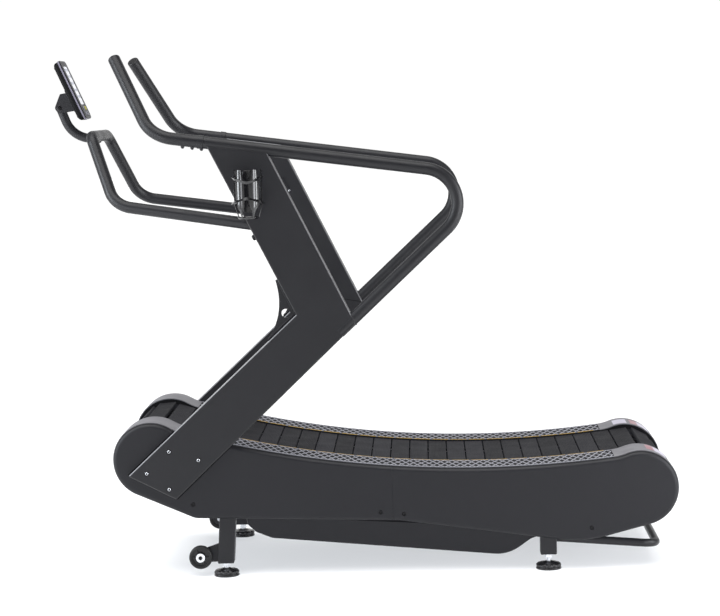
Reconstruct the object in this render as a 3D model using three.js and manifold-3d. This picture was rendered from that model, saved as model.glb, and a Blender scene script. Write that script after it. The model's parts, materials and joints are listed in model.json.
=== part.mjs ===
// A curved manual treadmill: a slat belt that the runner drives, two Z-shaped uprights with handrail
// loops, a lower handlebar with a tilting console, and a base on four levelling feet with two wheels.
// Millimetres, +Z up, +X towards the rear, left and right as the runner sees them (left is -Y).
import * as THREE from 'three';
import { mergeVertices } from 'three/addons/utils/BufferGeometryUtils.js';
import Module from 'manifold-3d';

const wasm = await Module();
wasm.setup();

// Driving dimensions ---------------------------------------------------------------------------
const GAP = 0.3;                                  // between pieces that touch
const CENTRE_SHIFT = 46;                          // the bottle holder on the left widens that side

const FRONT_AXLE = new THREE.Vector2(-652, 370);  // x, z of the front drum's axis
const REAR_AXLE = new THREE.Vector2(847, 250);
const RUN_RADIUS = 3404;                          // concave running surface
const RETURN_RADIUS = 8000;                       // slack lower run of the belt
const BELT_RADIUS = 103;                          // tread surface where it turns over a drum
const ARCH_RADIUS = 116;                          // end covers over the drums
const ARCH_BLEND = 150;                           // from an arch into the foot rail
const RAIL_RISE = 5;                              // foot rail above the tread

const SLAT_COUNT = 59;
const SLAT = { length: 426, width: 55 };
const DRIVE_BELT = { inner: 150, outer: 185, top: 16, bottom: 24 };
const PITCH_DEPTH = 20;
const PULLEY_RADIUS = BELT_RADIUS - DRIVE_BELT.bottom - 1.5;

const FRAME_PLATE = { inner: 222, outer: 230, halfHeight: 75 };
const FOOT_RAIL = { inner: 216, outer: 352.5, thickness: 4, lip: 14 };
const COVER = { inner: 353, outer: 375, wall: 4, round: 8, seam: 88 };
const POST = { y: 323, size: 50, wall: 3, base: 6 };
const FRONT_FOOT_X = -434;
const REAR_FOOT_X = 556;

const UPRIGHT = { inner: 357, outer: 407, wall: 4 };
const RAIL = { y: 390, radius: 19, bend: 106 };
const HANDLEBAR = { radius: 18 };
const STEM_RADIUS = 14.5;
const WHEEL = { x: -510, z: 60, radius: 36, inner: 319, outer: 345 };

const CONSOLE_TILT = THREE.MathUtils.degToRad(-23.6);
const CONSOLE_PIVOT = new THREE.Vector3(-944, 0, 1453);
const CONSOLE = { back: 43, split: 62, face: 71.5, low: -67, high: 133, halfWidth: 62 };
const DISPLAY = { low: -19, high: 113, halfWidth: 32, thickness: 1.6 };
const KEY = { width: 18, height: 13, y: 17, upper: -32, lower: -51 };

// Finishes ---------------------------------------------------------------------------------------
const PAINT = { color: 0x38373b, roughness: 0.5, metalness: 0.3 };
const PLASTIC = { color: 0x37373b, roughness: 0.55, metalness: 0 };
const TRIM = { color: 0x88868a, roughness: 0.6, metalness: 0 };
const BLACK = { color: 0x18181a, roughness: 0.35, metalness: 0 };
const RUBBER = { color: 0x4b4b4d, roughness: 0.85, metalness: 0 };
const STEEL = { color: 0xb8babd, roughness: 0.35, metalness: 1 };
const CHROME = { color: 0xdadce0, roughness: 0.15, metalness: 1 };
const ALUMINIUM = { color: 0xa4a7aa, roughness: 0.45, metalness: 1 };
const SCREEN = { color: 0xcfd3dc, roughness: 0.2, metalness: 0 };
const KEY_GREY = { color: 0x8a8a90, roughness: 0.6, metalness: 0 };
const KEY_GREEN = { color: 0xb4b04a, roughness: 0.6, metalness: 0 };

const treadmill = new THREE.Group();
treadmill.position.y = CENTRE_SHIFT;

function place(name, geometry, finish, parent = treadmill) {
  const mesh = new THREE.Mesh(geometry, new THREE.MeshStandardMaterial(finish));
  mesh.name = name;
  parent.add(mesh);
  return mesh;
}

// Solids -----------------------------------------------------------------------------------------
function solidOf(geometry) {
  const bare = geometry.clone();
  bare.deleteAttribute('normal');
  bare.deleteAttribute('uv');
  const merged = mergeVertices(bare, 1e-4);
  const vertProperties = Float32Array.from(merged.attributes.position.array);
  const triVerts = Uint32Array.from(merged.index.array);
  return new wasm.Manifold(new wasm.Mesh({ numProp: 3, vertProperties, triVerts }));
}

function geometryOf(solid) {
  const mesh = solid.getMesh();
  const geometry = new THREE.BufferGeometry();
  geometry.setAttribute('position', new THREE.BufferAttribute(Float32Array.from(mesh.vertProperties), 3));
  geometry.setIndex(Array.from(mesh.triVerts));
  return geometry;
}

function join(...geometries) {
  return geometryOf(geometries.map(solidOf).reduce((whole, piece) => whole.add(piece)));
}

function cut(geometry, ...tools) {
  return geometryOf(tools.map(solidOf).reduce((rest, tool) => rest.subtract(tool), solidOf(geometry)));
}

function keep(geometry, region) {
  return geometryOf(solidOf(geometry).intersect(solidOf(region)));
}

function box(x0, x1, y0, y1, z0, z1) {
  const geometry = new THREE.BoxGeometry(x1 - x0, Math.abs(y1 - y0), z1 - z0);
  return geometry.translate((x0 + x1) / 2, (y0 + y1) / 2, (z0 + z1) / 2);
}

// A side-view outline (x, z), extruded across the machine between two Y values in either order, with
// its edges chamfered where a bevel is given.
function across(shape, yA, yB, bevel = 0) {
  const depth = Math.abs(yB - yA);
  const geometry = new THREE.ExtrudeGeometry(shape, {
    depth: depth - 2 * bevel, curveSegments: 1, bevelEnabled: bevel > 0,
    bevelThickness: bevel, bevelSize: bevel * 0.8, bevelOffset: -bevel * 0.8, bevelSegments: 1,
  });
  return geometry.rotateX(Math.PI / 2).translate(0, Math.max(yA, yB) - bevel, 0);
}

function cylinderY(radius, yA, yB, x, z, sides = 16) {
  const geometry = new THREE.CylinderGeometry(radius, radius, Math.abs(yB - yA), sides);
  return geometry.translate(x, (yA + yB) / 2, z);
}

function outline(points) {
  return new THREE.Shape(points.map(([x, z]) => new THREE.Vector2(x, z)));
}

function arc(centre, radius, from, to, steps) {
  const points = [];
  for (let i = 0; i <= steps; i += 1) {
    const angle = from + (to - from) * i / steps;
    points.push([centre.x + radius * Math.cos(angle), centre.y + radius * Math.sin(angle)]);
  }
  return points;
}

// A polygon whose corners [x, z, radius] are rounded by arcs.
function rounded(corners, steps = 4) {
  const points = [];
  corners.forEach(([x, z, radius = 0], i) => {
    if (!radius) {
      points.push([x, z]);
      return;
    }
    const before = corners[(i + corners.length - 1) % corners.length];
    const after = corners[(i + 1) % corners.length];
    const bend = bendPoints(new THREE.Vector3(before[0], before[1], 0), new THREE.Vector3(x, z, 0),
      new THREE.Vector3(after[0], after[1], 0), radius, steps);
    bend.forEach((p) => points.push([p.x, p.y]));
  });
  return points;
}

function bendPoints(before, corner, after, radius, steps) {
  const back = before.clone().sub(corner).normalize();
  const ahead = after.clone().sub(corner).normalize();
  const turn = Math.PI - back.angleTo(ahead);
  const centre = corner.clone().addScaledVector(back.clone().add(ahead).normalize(), radius / Math.cos(turn / 2));
  const start = corner.clone().addScaledVector(back, radius * Math.tan(turn / 2)).sub(centre);
  const end = corner.clone().addScaledVector(ahead, radius * Math.tan(turn / 2)).sub(centre);
  const points = [];
  for (let i = 0; i <= steps; i += 1) {
    const t = i / steps;
    const point = centre.clone();
    point.addScaledVector(start, Math.sin((1 - t) * turn) / Math.sin(turn));
    point.addScaledVector(end, Math.sin(t * turn) / Math.sin(turn));
    points.push(point);
  }
  return points;
}

// The centre-line of a bent tube: straight between its bends, so a section falls only where it turns.
class Centreline extends THREE.Curve {
  constructor(points) {
    super();
    this.points = points;
  }

  getPointAt(u, target = new THREE.Vector3()) {
    return target.copy(this.points[Math.round(u * (this.points.length - 1))]);
  }

  getPoint(t, target) {
    return this.getPointAt(t, target);
  }

  getTangentAt(u, target = new THREE.Vector3()) {
    const i = Math.round(u * (this.points.length - 1));
    const last = this.points.length - 1;
    const ahead = this.points[Math.min(i + 1, last)].clone().sub(this.points[i]).normalize();
    const back = this.points[i].clone().sub(this.points[Math.max(i - 1, 0)]).normalize();
    return target.copy(ahead.add(back).normalize());
  }
}

// Radius of a 12-sided hole whose flats clear a round bar.
const roomFor = (radius) => radius / Math.cos(Math.PI / 12) + GAP;

// A round tube through corners [x, y, z, bend radius].
function bentTube(corners, radius, sides = 12, stepAngle = 18) {
  const vectors = corners.map(([x, y, z]) => new THREE.Vector3(x, y, z));
  const points = [vectors[0]];
  for (let i = 1; i < corners.length - 1; i += 1) {
    const turn = Math.PI - vectors[i - 1].clone().sub(vectors[i]).angleTo(vectors[i + 1].clone().sub(vectors[i]));
    const steps = Math.max(2, Math.round(THREE.MathUtils.radToDeg(turn) / stepAngle));
    points.push(...bendPoints(vectors[i - 1], vectors[i], vectors[i + 1], corners[i][3], steps));
  }
  points.push(vectors.at(-1));
  const section = new THREE.Shape(new THREE.Path().absarc(0, 0, radius, 0, 2 * Math.PI).getSpacedPoints(sides)
    .slice(0, sides));
  const options = { steps: points.length - 1, extrudePath: new Centreline(points), curveSegments: 1 };
  return new THREE.ExtrudeGeometry(section, options);
}

// Belt and deck curves ---------------------------------------------------------------------------
// The point at given distances from two others, on the upper side of the line between them.
function crossing(a, ra, b, rb, upper = true) {
  const span = a.distanceTo(b);
  const along = (ra * ra - rb * rb + span * span) / (2 * span);
  const height = Math.sqrt(ra * ra - along * along) * (upper ? 1 : -1);
  const dir = b.clone().sub(a).divideScalar(span);
  return new THREE.Vector2(a.x + dir.x * along - dir.y * height, a.y + dir.y * along + dir.x * height);
}

const RUN_CENTRE = crossing(FRONT_AXLE, RUN_RADIUS + BELT_RADIUS, REAR_AXLE, RUN_RADIUS + BELT_RADIUS);
const RETURN_CENTRE = crossing(FRONT_AXLE, RETURN_RADIUS - BELT_RADIUS, REAR_AXLE, RETURN_RADIUS - BELT_RADIUS);

const bearing = (from, to) => Math.atan2(to.y - from.y, to.x - from.x);
const TURN = 2 * Math.PI;

// The closed loop, anticlockwise from the top of the front drum. side is +1 where the tread is on
// the far side of the arc from its centre, and -1 on the concave run.
const LOOP = [
  { centre: FRONT_AXLE, radius: BELT_RADIUS, side: 1, steps: 14,
    from: bearing(FRONT_AXLE, RUN_CENTRE), to: bearing(RETURN_CENTRE, FRONT_AXLE) + TURN },
  { centre: RETURN_CENTRE, radius: RETURN_RADIUS, side: 1, steps: 8,
    from: bearing(RETURN_CENTRE, FRONT_AXLE), to: bearing(RETURN_CENTRE, REAR_AXLE) },
  { centre: REAR_AXLE, radius: BELT_RADIUS, side: 1, steps: 14,
    from: bearing(RETURN_CENTRE, REAR_AXLE), to: bearing(REAR_AXLE, RUN_CENTRE) },
  { centre: RUN_CENTRE, radius: RUN_RADIUS, side: -1, steps: 12,
    from: bearing(RUN_CENTRE, REAR_AXLE), to: bearing(RUN_CENTRE, FRONT_AXLE) },
];

function loopOutline(depth) {
  return LOOP.flatMap((part) => {
    const radius = part.radius - part.side * depth;
    return arc(part.centre, radius, part.from, part.to, part.steps).slice(0, -1);
  });
}

// Point and outward direction at a distance along the belt's pitch line.
function loopPlace(distance, depth) {
  let left = distance;
  for (const part of LOOP) {
    const pitchRadius = part.radius - part.side * PITCH_DEPTH;
    const length = pitchRadius * Math.abs(part.to - part.from);
    if (left <= length) {
      const angle = part.from + (part.to - part.from) * left / length;
      const radius = part.radius - part.side * depth;
      const out = [part.side * Math.cos(angle), part.side * Math.sin(angle)];
      return { x: part.centre.x + radius * Math.cos(angle), z: part.centre.y + radius * Math.sin(angle), out };
    }
    left -= length;
  }
  return loopPlace(0, depth);
}

const PITCH_LENGTH = LOOP.reduce((sum, part) => (
  sum + (part.radius - part.side * PITCH_DEPTH) * Math.abs(part.to - part.from)), 0);

// The deck's top line: front arch, blend, foot rail, blend, rear arch, at a depth below its surface.
const DECK_RADIUS = RUN_RADIUS - RAIL_RISE;
const FRONT_BLEND = crossing(FRONT_AXLE, ARCH_RADIUS + ARCH_BLEND, RUN_CENTRE, DECK_RADIUS - ARCH_BLEND, false);
const REAR_BLEND = crossing(REAR_AXLE, ARCH_RADIUS + ARCH_BLEND, RUN_CENTRE, DECK_RADIUS - ARCH_BLEND, true);

function deckRun(depth, steps = 10) {
  return arc(RUN_CENTRE, DECK_RADIUS + depth, bearing(RUN_CENTRE, FRONT_BLEND), bearing(RUN_CENTRE, REAR_BLEND), steps);
}

function frontArch(depth, from, steps = 9) {
  const top = bearing(FRONT_AXLE, FRONT_BLEND);
  const arch = arc(FRONT_AXLE, ARCH_RADIUS - depth, from, top, steps);
  const blend = arc(FRONT_BLEND, ARCH_BLEND + depth, top - Math.PI, bearing(RUN_CENTRE, FRONT_BLEND), 3);
  return [...arch, ...blend.slice(1)];
}

function rearArch(depth, to, steps = 9) {
  const top = bearing(REAR_AXLE, REAR_BLEND);
  const blend = arc(REAR_BLEND, ARCH_BLEND + depth, bearing(RUN_CENTRE, REAR_BLEND), top - Math.PI, 3);
  const arch = arc(REAR_AXLE, ARCH_RADIUS - depth, top, to, steps);
  return [...blend, ...arch.slice(1)];
}

// Angle at which a line from a point touches a circle from below.
function touch(axle, radius, x, z, rear) {
  const point = new THREE.Vector2(x, z);
  const swing = Math.acos(radius / axle.distanceTo(point));
  return bearing(axle, point) + (rear ? swing : -swing);
}

// Upright and handrail lines ---------------------------------------------------------------------
const UPRIGHT_OUTLINE = [
  [-446, 1331], [-189, 811], [-716, 329], [-571, 254], [-9, 779], [-259, 1295],
];
const GUSSET = { top: [-250, 916], middle: [-243, 820], bottom: [-279, 735], hole: [-221, 815], holeRadius: 12 };
const TOP_RAIL = { front: [-611, 1361], rear: [437, 1210] };
const DIAGONAL_START = [-60, 754];
const GRIP_TIP = [-735, 230, 1597];
const COLLAR_X = -453;

// Inset (or, below zero, outset) of a polygon given in order.
function offset(points, amount) {
  const area = points.reduce((sum, [x, z], i) => {
    const [nx, nz] = points[(i + 1) % points.length];
    return sum + x * nz - nx * z;
  }, 0);
  const sense = Math.sign(area);
  const edges = points.map(([x, z], i) => {
    const [nx, nz] = points[(i + 1) % points.length];
    const length = Math.hypot(nx - x, nz - z);
    const normal = [-(nz - z) / length * sense, (nx - x) / length * sense];
    return { x: x + normal[0] * amount, z: z + normal[1] * amount, dx: nx - x, dz: nz - z };
  });
  return edges.map((edge, i) => {
    const before = edges[(i + edges.length - 1) % edges.length];
    const cross = before.dx * edge.dz - before.dz * edge.dx;
    const t = ((edge.x - before.x) * edge.dz - (edge.z - before.z) * edge.dx) / cross;
    return [before.x + before.dx * t, before.z + before.dz * t];
  });
}

// Base -------------------------------------------------------------------------------------------
const FRONT_BEAM = { x: -414, z: 295, size: 50 };
const REAR_BEAM = { x: REAR_FOOT_X + 7, z: 218, size: 50 };

function beam({ x, z, size }, end) {
  const half = size / 2;
  const square = (h) => outline([[x - h, z - h], [x + h, z - h], [x + h, z + h], [x - h, z + h]]);
  const shape = square(half);
  shape.holes.push(square(half - POST.wall));
  return across(shape, -end, end);
}

function beamRoom({ x, z, size }, yA, yB) {
  const half = size / 2 + GAP;
  return box(x - half, x + half, Math.min(yA, yB) - 1, Math.max(yA, yB) + 1, z - half, z + half);
}

function sideFrame(side) {
  const middle = RUN_RADIUS + BELT_RADIUS;
  const half = FRAME_PLATE.halfHeight;
  const front = bearing(RUN_CENTRE, FRONT_AXLE);
  const rear = bearing(RUN_CENTRE, REAR_AXLE);
  const plate = outline([
    ...arc(RUN_CENTRE, middle + half, front, rear, 10).slice(0, -1),
    ...arc(REAR_AXLE, half, rear, rear + Math.PI, 8).slice(0, -1),
    ...arc(RUN_CENTRE, middle - half, rear, front, 10).slice(0, -1),
    ...arc(FRONT_AXLE, half, front + Math.PI, front + TURN, 8).slice(0, -1),
  ]);
  const sheet = across(plate, side * FRAME_PLATE.inner, side * FRAME_PLATE.outer);
  // The upright's mounting box, welded to the plate, with a hollow that is open to the inside.
  const foot = offset(UPRIGHT_OUTLINE, 8);
  const [, , low, rearLow] = foot;
  const up = (corner, length) => [corner[0] + length * 0.738, corner[1] + length * 0.675];
  const pad = [up(low, 175), low, rearLow, up(rearLow, 175)];
  const reach = UPRIGHT.inner - GAP;
  const block = across(outline(pad), side * (FRAME_PLATE.outer - 2), side * reach);
  const hollow = across(outline(offset(pad, 6)), side * (FRAME_PLATE.outer - 20), side * (reach - 8));
  const clearance = cylinderY(43, side * (FRAME_PLATE.outer + GAP), side * 262, FRONT_AXLE.x, FRONT_AXLE.y, 16);
  const mount = cut(block, hollow, clearance);
  const whole = join(sheet, mount);
  return cut(whole,
    cylinderY(17, side * 200, side * 240, FRONT_AXLE.x, FRONT_AXLE.y),
    cylinderY(17, side * 200, side * 240, REAR_AXLE.x, REAR_AXLE.y),
    beamRoom(FRONT_BEAM, side * 200, side * 300),
    beamRoom(REAR_BEAM, side * 200, side * 300));
}

// A slanted square tube with a closed foot that a levelling stud screws through.
function post(bottomX, bottomZ, topX, topZ, side) {
  const half = POST.size / 2;
  const lean = (topX - bottomX) / (topZ - bottomZ);
  const body = outline([[bottomX - half, bottomZ], [bottomX + half, bottomZ], [topX + half, topZ], [topX - half, topZ]]);
  const inner = half - POST.wall;
  const floor = bottomZ + POST.base;
  const floorX = bottomX + lean * POST.base;
  const over = topX + lean * 5;
  const hollow = outline([[floorX - inner, floor], [floorX + inner, floor], [over + inner, topZ + 5], [over - inner, topZ + 5]]);
  const stud = new THREE.CylinderGeometry(6.6, 6.6, 40, 12).rotateX(Math.PI / 2);
  stud.translate(bottomX, side * POST.y, bottomZ);
  return cut(across(body, side * (POST.y - half), side * (POST.y + half)),
    across(hollow, side * (POST.y - inner), side * (POST.y + inner)), stud);
}

function lathe(profile, sides) {
  return new THREE.LatheGeometry(profile.map(([r, y]) => new THREE.Vector2(r, y)), sides);
}

// Rubber pad, swivel hub, lock nut and stud, turning together.
function levellingFoot(x, side, nutZ) {
  const profile = [
    [0, 0], [33, 0], [35, 4], [35, 13], [29, 19], [9, 23], [6, 28],
    [6, nutZ - 10.5], [11, nutZ - 10.5], [11, nutZ - GAP], [6, nutZ - GAP], [6, nutZ + 34], [0, nutZ + 34],
  ];
  return lathe(profile, 12).rotateX(Math.PI / 2).translate(x, side * POST.y, 0);
}

function wheelBracket(side) {
  const face = FRONT_FOOT_X - POST.size / 2 + 3;
  const plate = outline([
    [face, 42], [face + 3, 100],
    ...arc(new THREE.Vector2(WHEEL.x, WHEEL.z), 20, 1.75, 4.4, 6),
  ]);
  const inner = WHEEL.inner - GAP - 0.5;
  return join(
    across(plate, side * (inner - 6), side * inner),
    cylinderY(5, side * (inner - 3), side * (WHEEL.outer + 2), WHEEL.x, WHEEL.z, 12),
    cylinderY(15, side * (WHEEL.outer + 0.8), side * (WHEEL.outer + 3.5), WHEEL.x, WHEEL.z, 12),
    cylinderY(8, side * (WHEEL.outer + 3), side * (WHEEL.outer + 7), WHEEL.x, WHEEL.z, 6));
}

// The front post with the wheel bracket welded to its face.
function frontPost(side) {
  return join(post(FRONT_FOOT_X + 2, 41, -413, 320, side), wheelBracket(side));
}

function transportWheel(side) {
  const half = (WHEEL.outer - WHEEL.inner) / 2;
  const { radius } = WHEEL;
  const profile = [
    [5.6, -half], [radius - 4, -half], [radius, -half + 5], [radius, half - 5], [radius - 4, half],
    [29, half], [27, half - 4], [17, half - 4], [15, half], [5.6, half], [5.6, -half],
  ];
  return lathe(profile, 18).translate(WHEEL.x, side * (WHEEL.inner + WHEEL.outer) / 2, WHEEL.z);
}

// Belt and drums ---------------------------------------------------------------------------------
// The slats stand on the drive belt as teeth around one closed band.
function slatBelt() {
  const teeth = [];
  for (let i = 0; i < SLAT_COUNT; i += 1) {
    const { x, z, out } = loopPlace((i + 0.5) * PITCH_LENGTH / SLAT_COUNT, 0);
    for (const [along, depth] of [[-1, DRIVE_BELT.top], [-1, 0], [1, 0], [1, DRIVE_BELT.top]]) {
      const half = along * SLAT.width / 2;
      teeth.push([x - out[1] * half - out[0] * depth, z + out[0] * half - out[1] * depth]);
    }
  }
  const band = outline(teeth);
  band.holes.push(outline(loopOutline(DRIVE_BELT.bottom)));
  return across(band, -SLAT.length / 2, SLAT.length / 2);
}

const SHAFT_RADIUS = 12.5;
const SHAFT_END = 262;

function pulley(axle, side) {
  const half = (DRIVE_BELT.outer - DRIVE_BELT.inner) / 2 + 4;
  const bore = SHAFT_RADIUS + GAP;
  const rim = PULLEY_RADIUS - 7;
  const profile = [
    [bore, -half], [30, -half], [30, half - 8], [rim, half - 8], [rim, -half], [PULLEY_RADIUS, -half],
    [PULLEY_RADIUS, half], [bore, half], [bore, -half],
  ];
  const middle = (DRIVE_BELT.inner + DRIVE_BELT.outer) / 2;
  return lathe(profile, 18).translate(axle.x, side * middle, axle.y);
}

function bearingUnit(axle, side, radius) {
  const bore = SHAFT_RADIUS + GAP;
  const length = 28;
  const profile = [
    [bore, 0], [radius + 8, 0], [radius + 8, 6], [radius, 6], [radius - 3, length], [bore, length], [bore, 0],
  ];
  const unit = lathe(profile, 18);
  if (side < 0) {
    unit.rotateZ(Math.PI);
  }
  return unit.translate(axle.x, side * (FRAME_PLATE.outer + GAP), axle.y);
}

// A bar under the run with a row of small bearings that carry the drive belt.
function bearingRail(side) {
  const from = bearing(RUN_CENTRE, FRONT_AXLE) + 0.032;
  const to = bearing(RUN_CENTRE, REAR_AXLE) - 0.032;
  const top = RUN_RADIUS + 34;
  const bar = outline([...arc(RUN_CENTRE, top, from, to, 10), ...arc(RUN_CENTRE, top + 30, to, from, 10)]);
  const pieces = [across(bar, side * 196, side * (FRAME_PLATE.inner - GAP))];
  const count = 16;
  const radius = 13;
  const depth = DRIVE_BELT.bottom + 0.5 + radius;
  for (let i = 0; i < count; i += 1) {
    const angle = from + (to - from) * (i + 0.5) / count;
    const x = RUN_CENTRE.x + (RUN_RADIUS + depth) * Math.cos(angle);
    const z = RUN_CENTRE.y + (RUN_RADIUS + depth) * Math.sin(angle);
    pieces.push(cylinderY(radius, side * 168, side * 198, x, z, 8));
  }
  return join(...pieces);
}

// Covers -----------------------------------------------------------------------------------------
function coverOutline(depth) {
  const radius = ARCH_RADIUS - depth;
  const frontLow = [-520, 186 + depth];
  const rearLow = [668, 85 + depth];
  const bottom = rounded([
    [-700, 270], [...frontLow, 50], [COVER.seam + 20, 165 + depth, 60], [...rearLow, 380], [880, 141],
  ]).slice(1, -1);
  return [
    ...frontArch(depth, touch(FRONT_AXLE, radius, ...frontLow, false) + TURN, 9).slice(0, -1),
    ...deckRun(depth, 8).slice(0, -1),
    ...rearArch(depth, touch(REAR_AXLE, radius, ...rearLow, true), 9),
    ...bottom.reverse(),
  ];
}

function sideCover(side, front) {
  const { inner, outer, wall, round } = COVER;
  const depth = 2;
  const solid = across(outline(coverOutline(depth)), side * (inner - round), side * outer, round);
  const hollow = across(outline(coverOutline(depth + wall)), side * (inner - 20), side * (outer - wall - 2));
  const reach = front ? [-2000, COVER.seam - GAP] : [COVER.seam + GAP, 2000];
  const half = box(...reach, side * inner, side * (outer + 50), -500, 1000);
  const legRoom = across(outline(offset(UPRIGHT_OUTLINE, -1.5)), side * 300, side * 400);
  return cut(keep(solid, half), hollow, legRoom);
}

function footRail(side) {
  const { inner, outer, thickness, lip } = FOOT_RAIL;
  const strip = (depth) => outline([...deckRun(0), ...deckRun(depth).reverse()]);
  return join(across(strip(thickness), side * inner, side * outer), across(strip(lip), side * inner, side * (inner + 4)));
}

function archCover(side, front) {
  const { inner, outer, thickness, lip } = FOOT_RAIL;
  const band = (depth) => {
    const end = front ? THREE.MathUtils.degToRad(205) : THREE.MathUtils.degToRad(-25);
    const line = (d) => (front ? frontArch(d, end) : rearArch(d, end));
    return outline([...line(0), ...line(depth).reverse()]);
  };
  const shell = join(across(band(thickness), side * inner, side * outer), across(band(lip), side * inner, side * (inner + 3)));
  return geometryOf(solidOf(shell).translate(front ? -GAP : GAP, 0, 0));
}

function bellyPan() {
  const tray = [[-372, 188], [-366, 150], [-340, 126], [-290, 106], [425, 51], [468, 60], [522, 96], [526, 128]];
  const inside = [[-369, 200], [-363, 152], [-337, 129], [-288, 109.5], [424, 54.5], [466, 63], [519, 97.5], [523, 140]];
  return cut(across(outline(tray), -292, 292), across(outline(inside), -289, 289));
}

// Uprights and rails -----------------------------------------------------------------------------
function railCorners(side) {
  const y = side * RAIL.y;
  return {
    start: [DIAGONAL_START[0], y, DIAGONAL_START[1]],
    bend: [TOP_RAIL.rear[0], y, TOP_RAIL.rear[1], RAIL.bend],
    front: [TOP_RAIL.front[0], y, TOP_RAIL.front[1], 110],
    tip: [GRIP_TIP[0], side * GRIP_TIP[1], GRIP_TIP[2]],
  };
}

const railZ = (x) => {
  const [x0, z0] = TOP_RAIL.front;
  const [x1, z1] = TOP_RAIL.rear;
  return z0 + (z1 - z0) * (x - x0) / (x1 - x0);
};

function upright(side) {
  const whole = across(outline(UPRIGHT_OUTLINE), side * UPRIGHT.inner, side * UPRIGHT.outer);
  const inset = offset(UPRIGHT_OUTLINE, UPRIGHT.wall);
  const opened = inset.map(([x, z], i) => (i === 2 || i === 3 ? [x - 22, z - 20] : [x, z]));
  const hollow = across(outline(opened), side * (UPRIGHT.inner + UPRIGHT.wall), side * (UPRIGHT.outer - UPRIGHT.wall));
  const { top, middle, bottom, hole, holeRadius } = GUSSET;
  const curve = new THREE.QuadraticBezierCurve(
    new THREE.Vector2(...top), new THREE.Vector2(2 * middle[0] - (top[0] + bottom[0]) / 2, 2 * middle[1] - (top[1] + bottom[1]) / 2),
    new THREE.Vector2(...bottom)).getPoints(6).map((p) => [p.x, p.y]);
  const plate = outline([...curve, [bottom[0] + 5, bottom[1] - 6], [-182, 814], [top[0] + 8, top[1] + 2]]);
  plate.holes.push(outline(arc(new THREE.Vector2(...hole), holeRadius, TURN, 0, 10).slice(0, -1)));
  const web = across(plate, side * (UPRIGHT.inner + 21), side * (UPRIGHT.inner + 29));
  const { front, bend } = railCorners(side);
  const groove = bentTube([front.slice(0, 3), bend.slice(0, 3)], roomFor(RAIL.radius));
  const body = cut(whole, hollow, groove);
  return join(body, keep(web, box(-300, -184, -1000, 1000, 700, 950)));
}

const legPrism = (side) => across(outline(offset(UPRIGHT_OUTLINE, -GAP)), side * 330, side * 430);

function handrailLoop(side) {
  const { start, bend } = railCorners(side);
  const end = [COLLAR_X, start[1], railZ(COLLAR_X)];
  const tube = bentTube([start, bend, end], RAIL.radius);
  const leg = keep(legPrism(side), box(-1000, 1000, -1000, 1000, 0, 1000));
  return cut(tube, leg);
}

// Front handrail: a plug-in tube with a clamp collar at its joint and three cap nuts underneath.
function handrailGrip(side) {
  const { front, tip } = railCorners(side);
  const at = (x) => [x, front[1], railZ(x)];
  const tube = bentTube([tip, front, at(COLLAR_X - GAP)], RAIL.radius);
  const collar = bentTube([at(COLLAR_X - 16), at(COLLAR_X - GAP)], RAIL.radius + 1.6);
  const nuts = [-517, -488, -460].map((x) => {
    const nut = new THREE.CylinderGeometry(5, 5, 14, 6).rotateX(Math.PI / 2);
    return nut.translate(x, front[1], railZ(x) - RAIL.radius);
  });
  return join(tube, collar, ...nuts);
}

function gripCap(side) {
  const { front, tip } = railCorners(side);
  const end = new THREE.Vector3(...tip);
  const along = end.clone().sub(new THREE.Vector3(...front.slice(0, 3))).normalize();
  const profile = [[0, GAP], [RAIL.radius, GAP], [RAIL.radius, 3], [RAIL.radius - 3, 6], [0, 6]];
  const cap = lathe(profile, 12);
  cap.applyQuaternion(new THREE.Quaternion().setFromUnitVectors(new THREE.Vector3(0, 1, 0), along));
  return cap.translate(end.x, end.y, end.z);
}

const CROSSBAR = { x: -823, z: 1362, halfWidth: 180 };

function lowerHandlebar() {
  const corners = [
    [-300, -382, 1085], [-739, -312, 1152, 90], [CROSSBAR.x, -CROSSBAR.halfWidth, CROSSBAR.z, 55],
    [CROSSBAR.x, CROSSBAR.halfWidth, CROSSBAR.z, 55], [-739, 312, 1152, 90], [-300, 382, 1085],
  ];
  return cut(bentTube(corners, HANDLEBAR.radius, 10, 22), legPrism(-1), legPrism(1));
}

// A cage of ribs and rings that tapers to its floor, on a strap against the left upright.
function bottleHolder() {
  const centre = { x: -319, y: -(UPRIGHT.outer + 50) };
  const turned = (profile) => lathe(profile, 14).rotateX(Math.PI / 2).translate(centre.x, centre.y, 0);
  const ring = (low, high) => turned([[39.5, low], [46, low], [46, high], [39.5, high], [39.5, low]]);
  const ribs = [0, 45, 90, 135].map((degrees) => {
    const half = [[27, 1108], [31, 1108], [43, 1150], [43, 1256], [39, 1256], [39, 1151]];
    const rib = (sign) => across(outline(half.map(([x, z]) => [sign * x, z])), -6, 6);
    return join(rib(1), rib(-1), box(-29, 29, -6, 6, 1108, 1112))
      .rotateZ(THREE.MathUtils.degToRad(degrees + 20)).translate(centre.x, centre.y, 0);
  });
  const strap = box(centre.x - 16, centre.x + 16, -(UPRIGHT.outer + 12), -(UPRIGHT.outer + GAP), 1125, 1250);
  return join(ring(1215, 1224), ring(1152, 1161), ...ribs, strap);
}

// Console ----------------------------------------------------------------------------------------
function consoleStem() {
  const pivot = CONSOLE_PIVOT;
  const tube = bentTube([[CROSSBAR.x - 6, 0, 1357], [-929, 0, 1358, 62], [-938, 0, 1446]], STEM_RADIUS);
  const lug = cylinderY(14, -11.5, 11.5, pivot.x, pivot.z, 14);
  return cut(join(tube, lug),
    cylinderY(roomFor(HANDLEBAR.radius), -60, 60, CROSSBAR.x, CROSSBAR.z, 12),
    cylinderY(5.4, -30, 30, pivot.x, pivot.z, 12));
}

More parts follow.
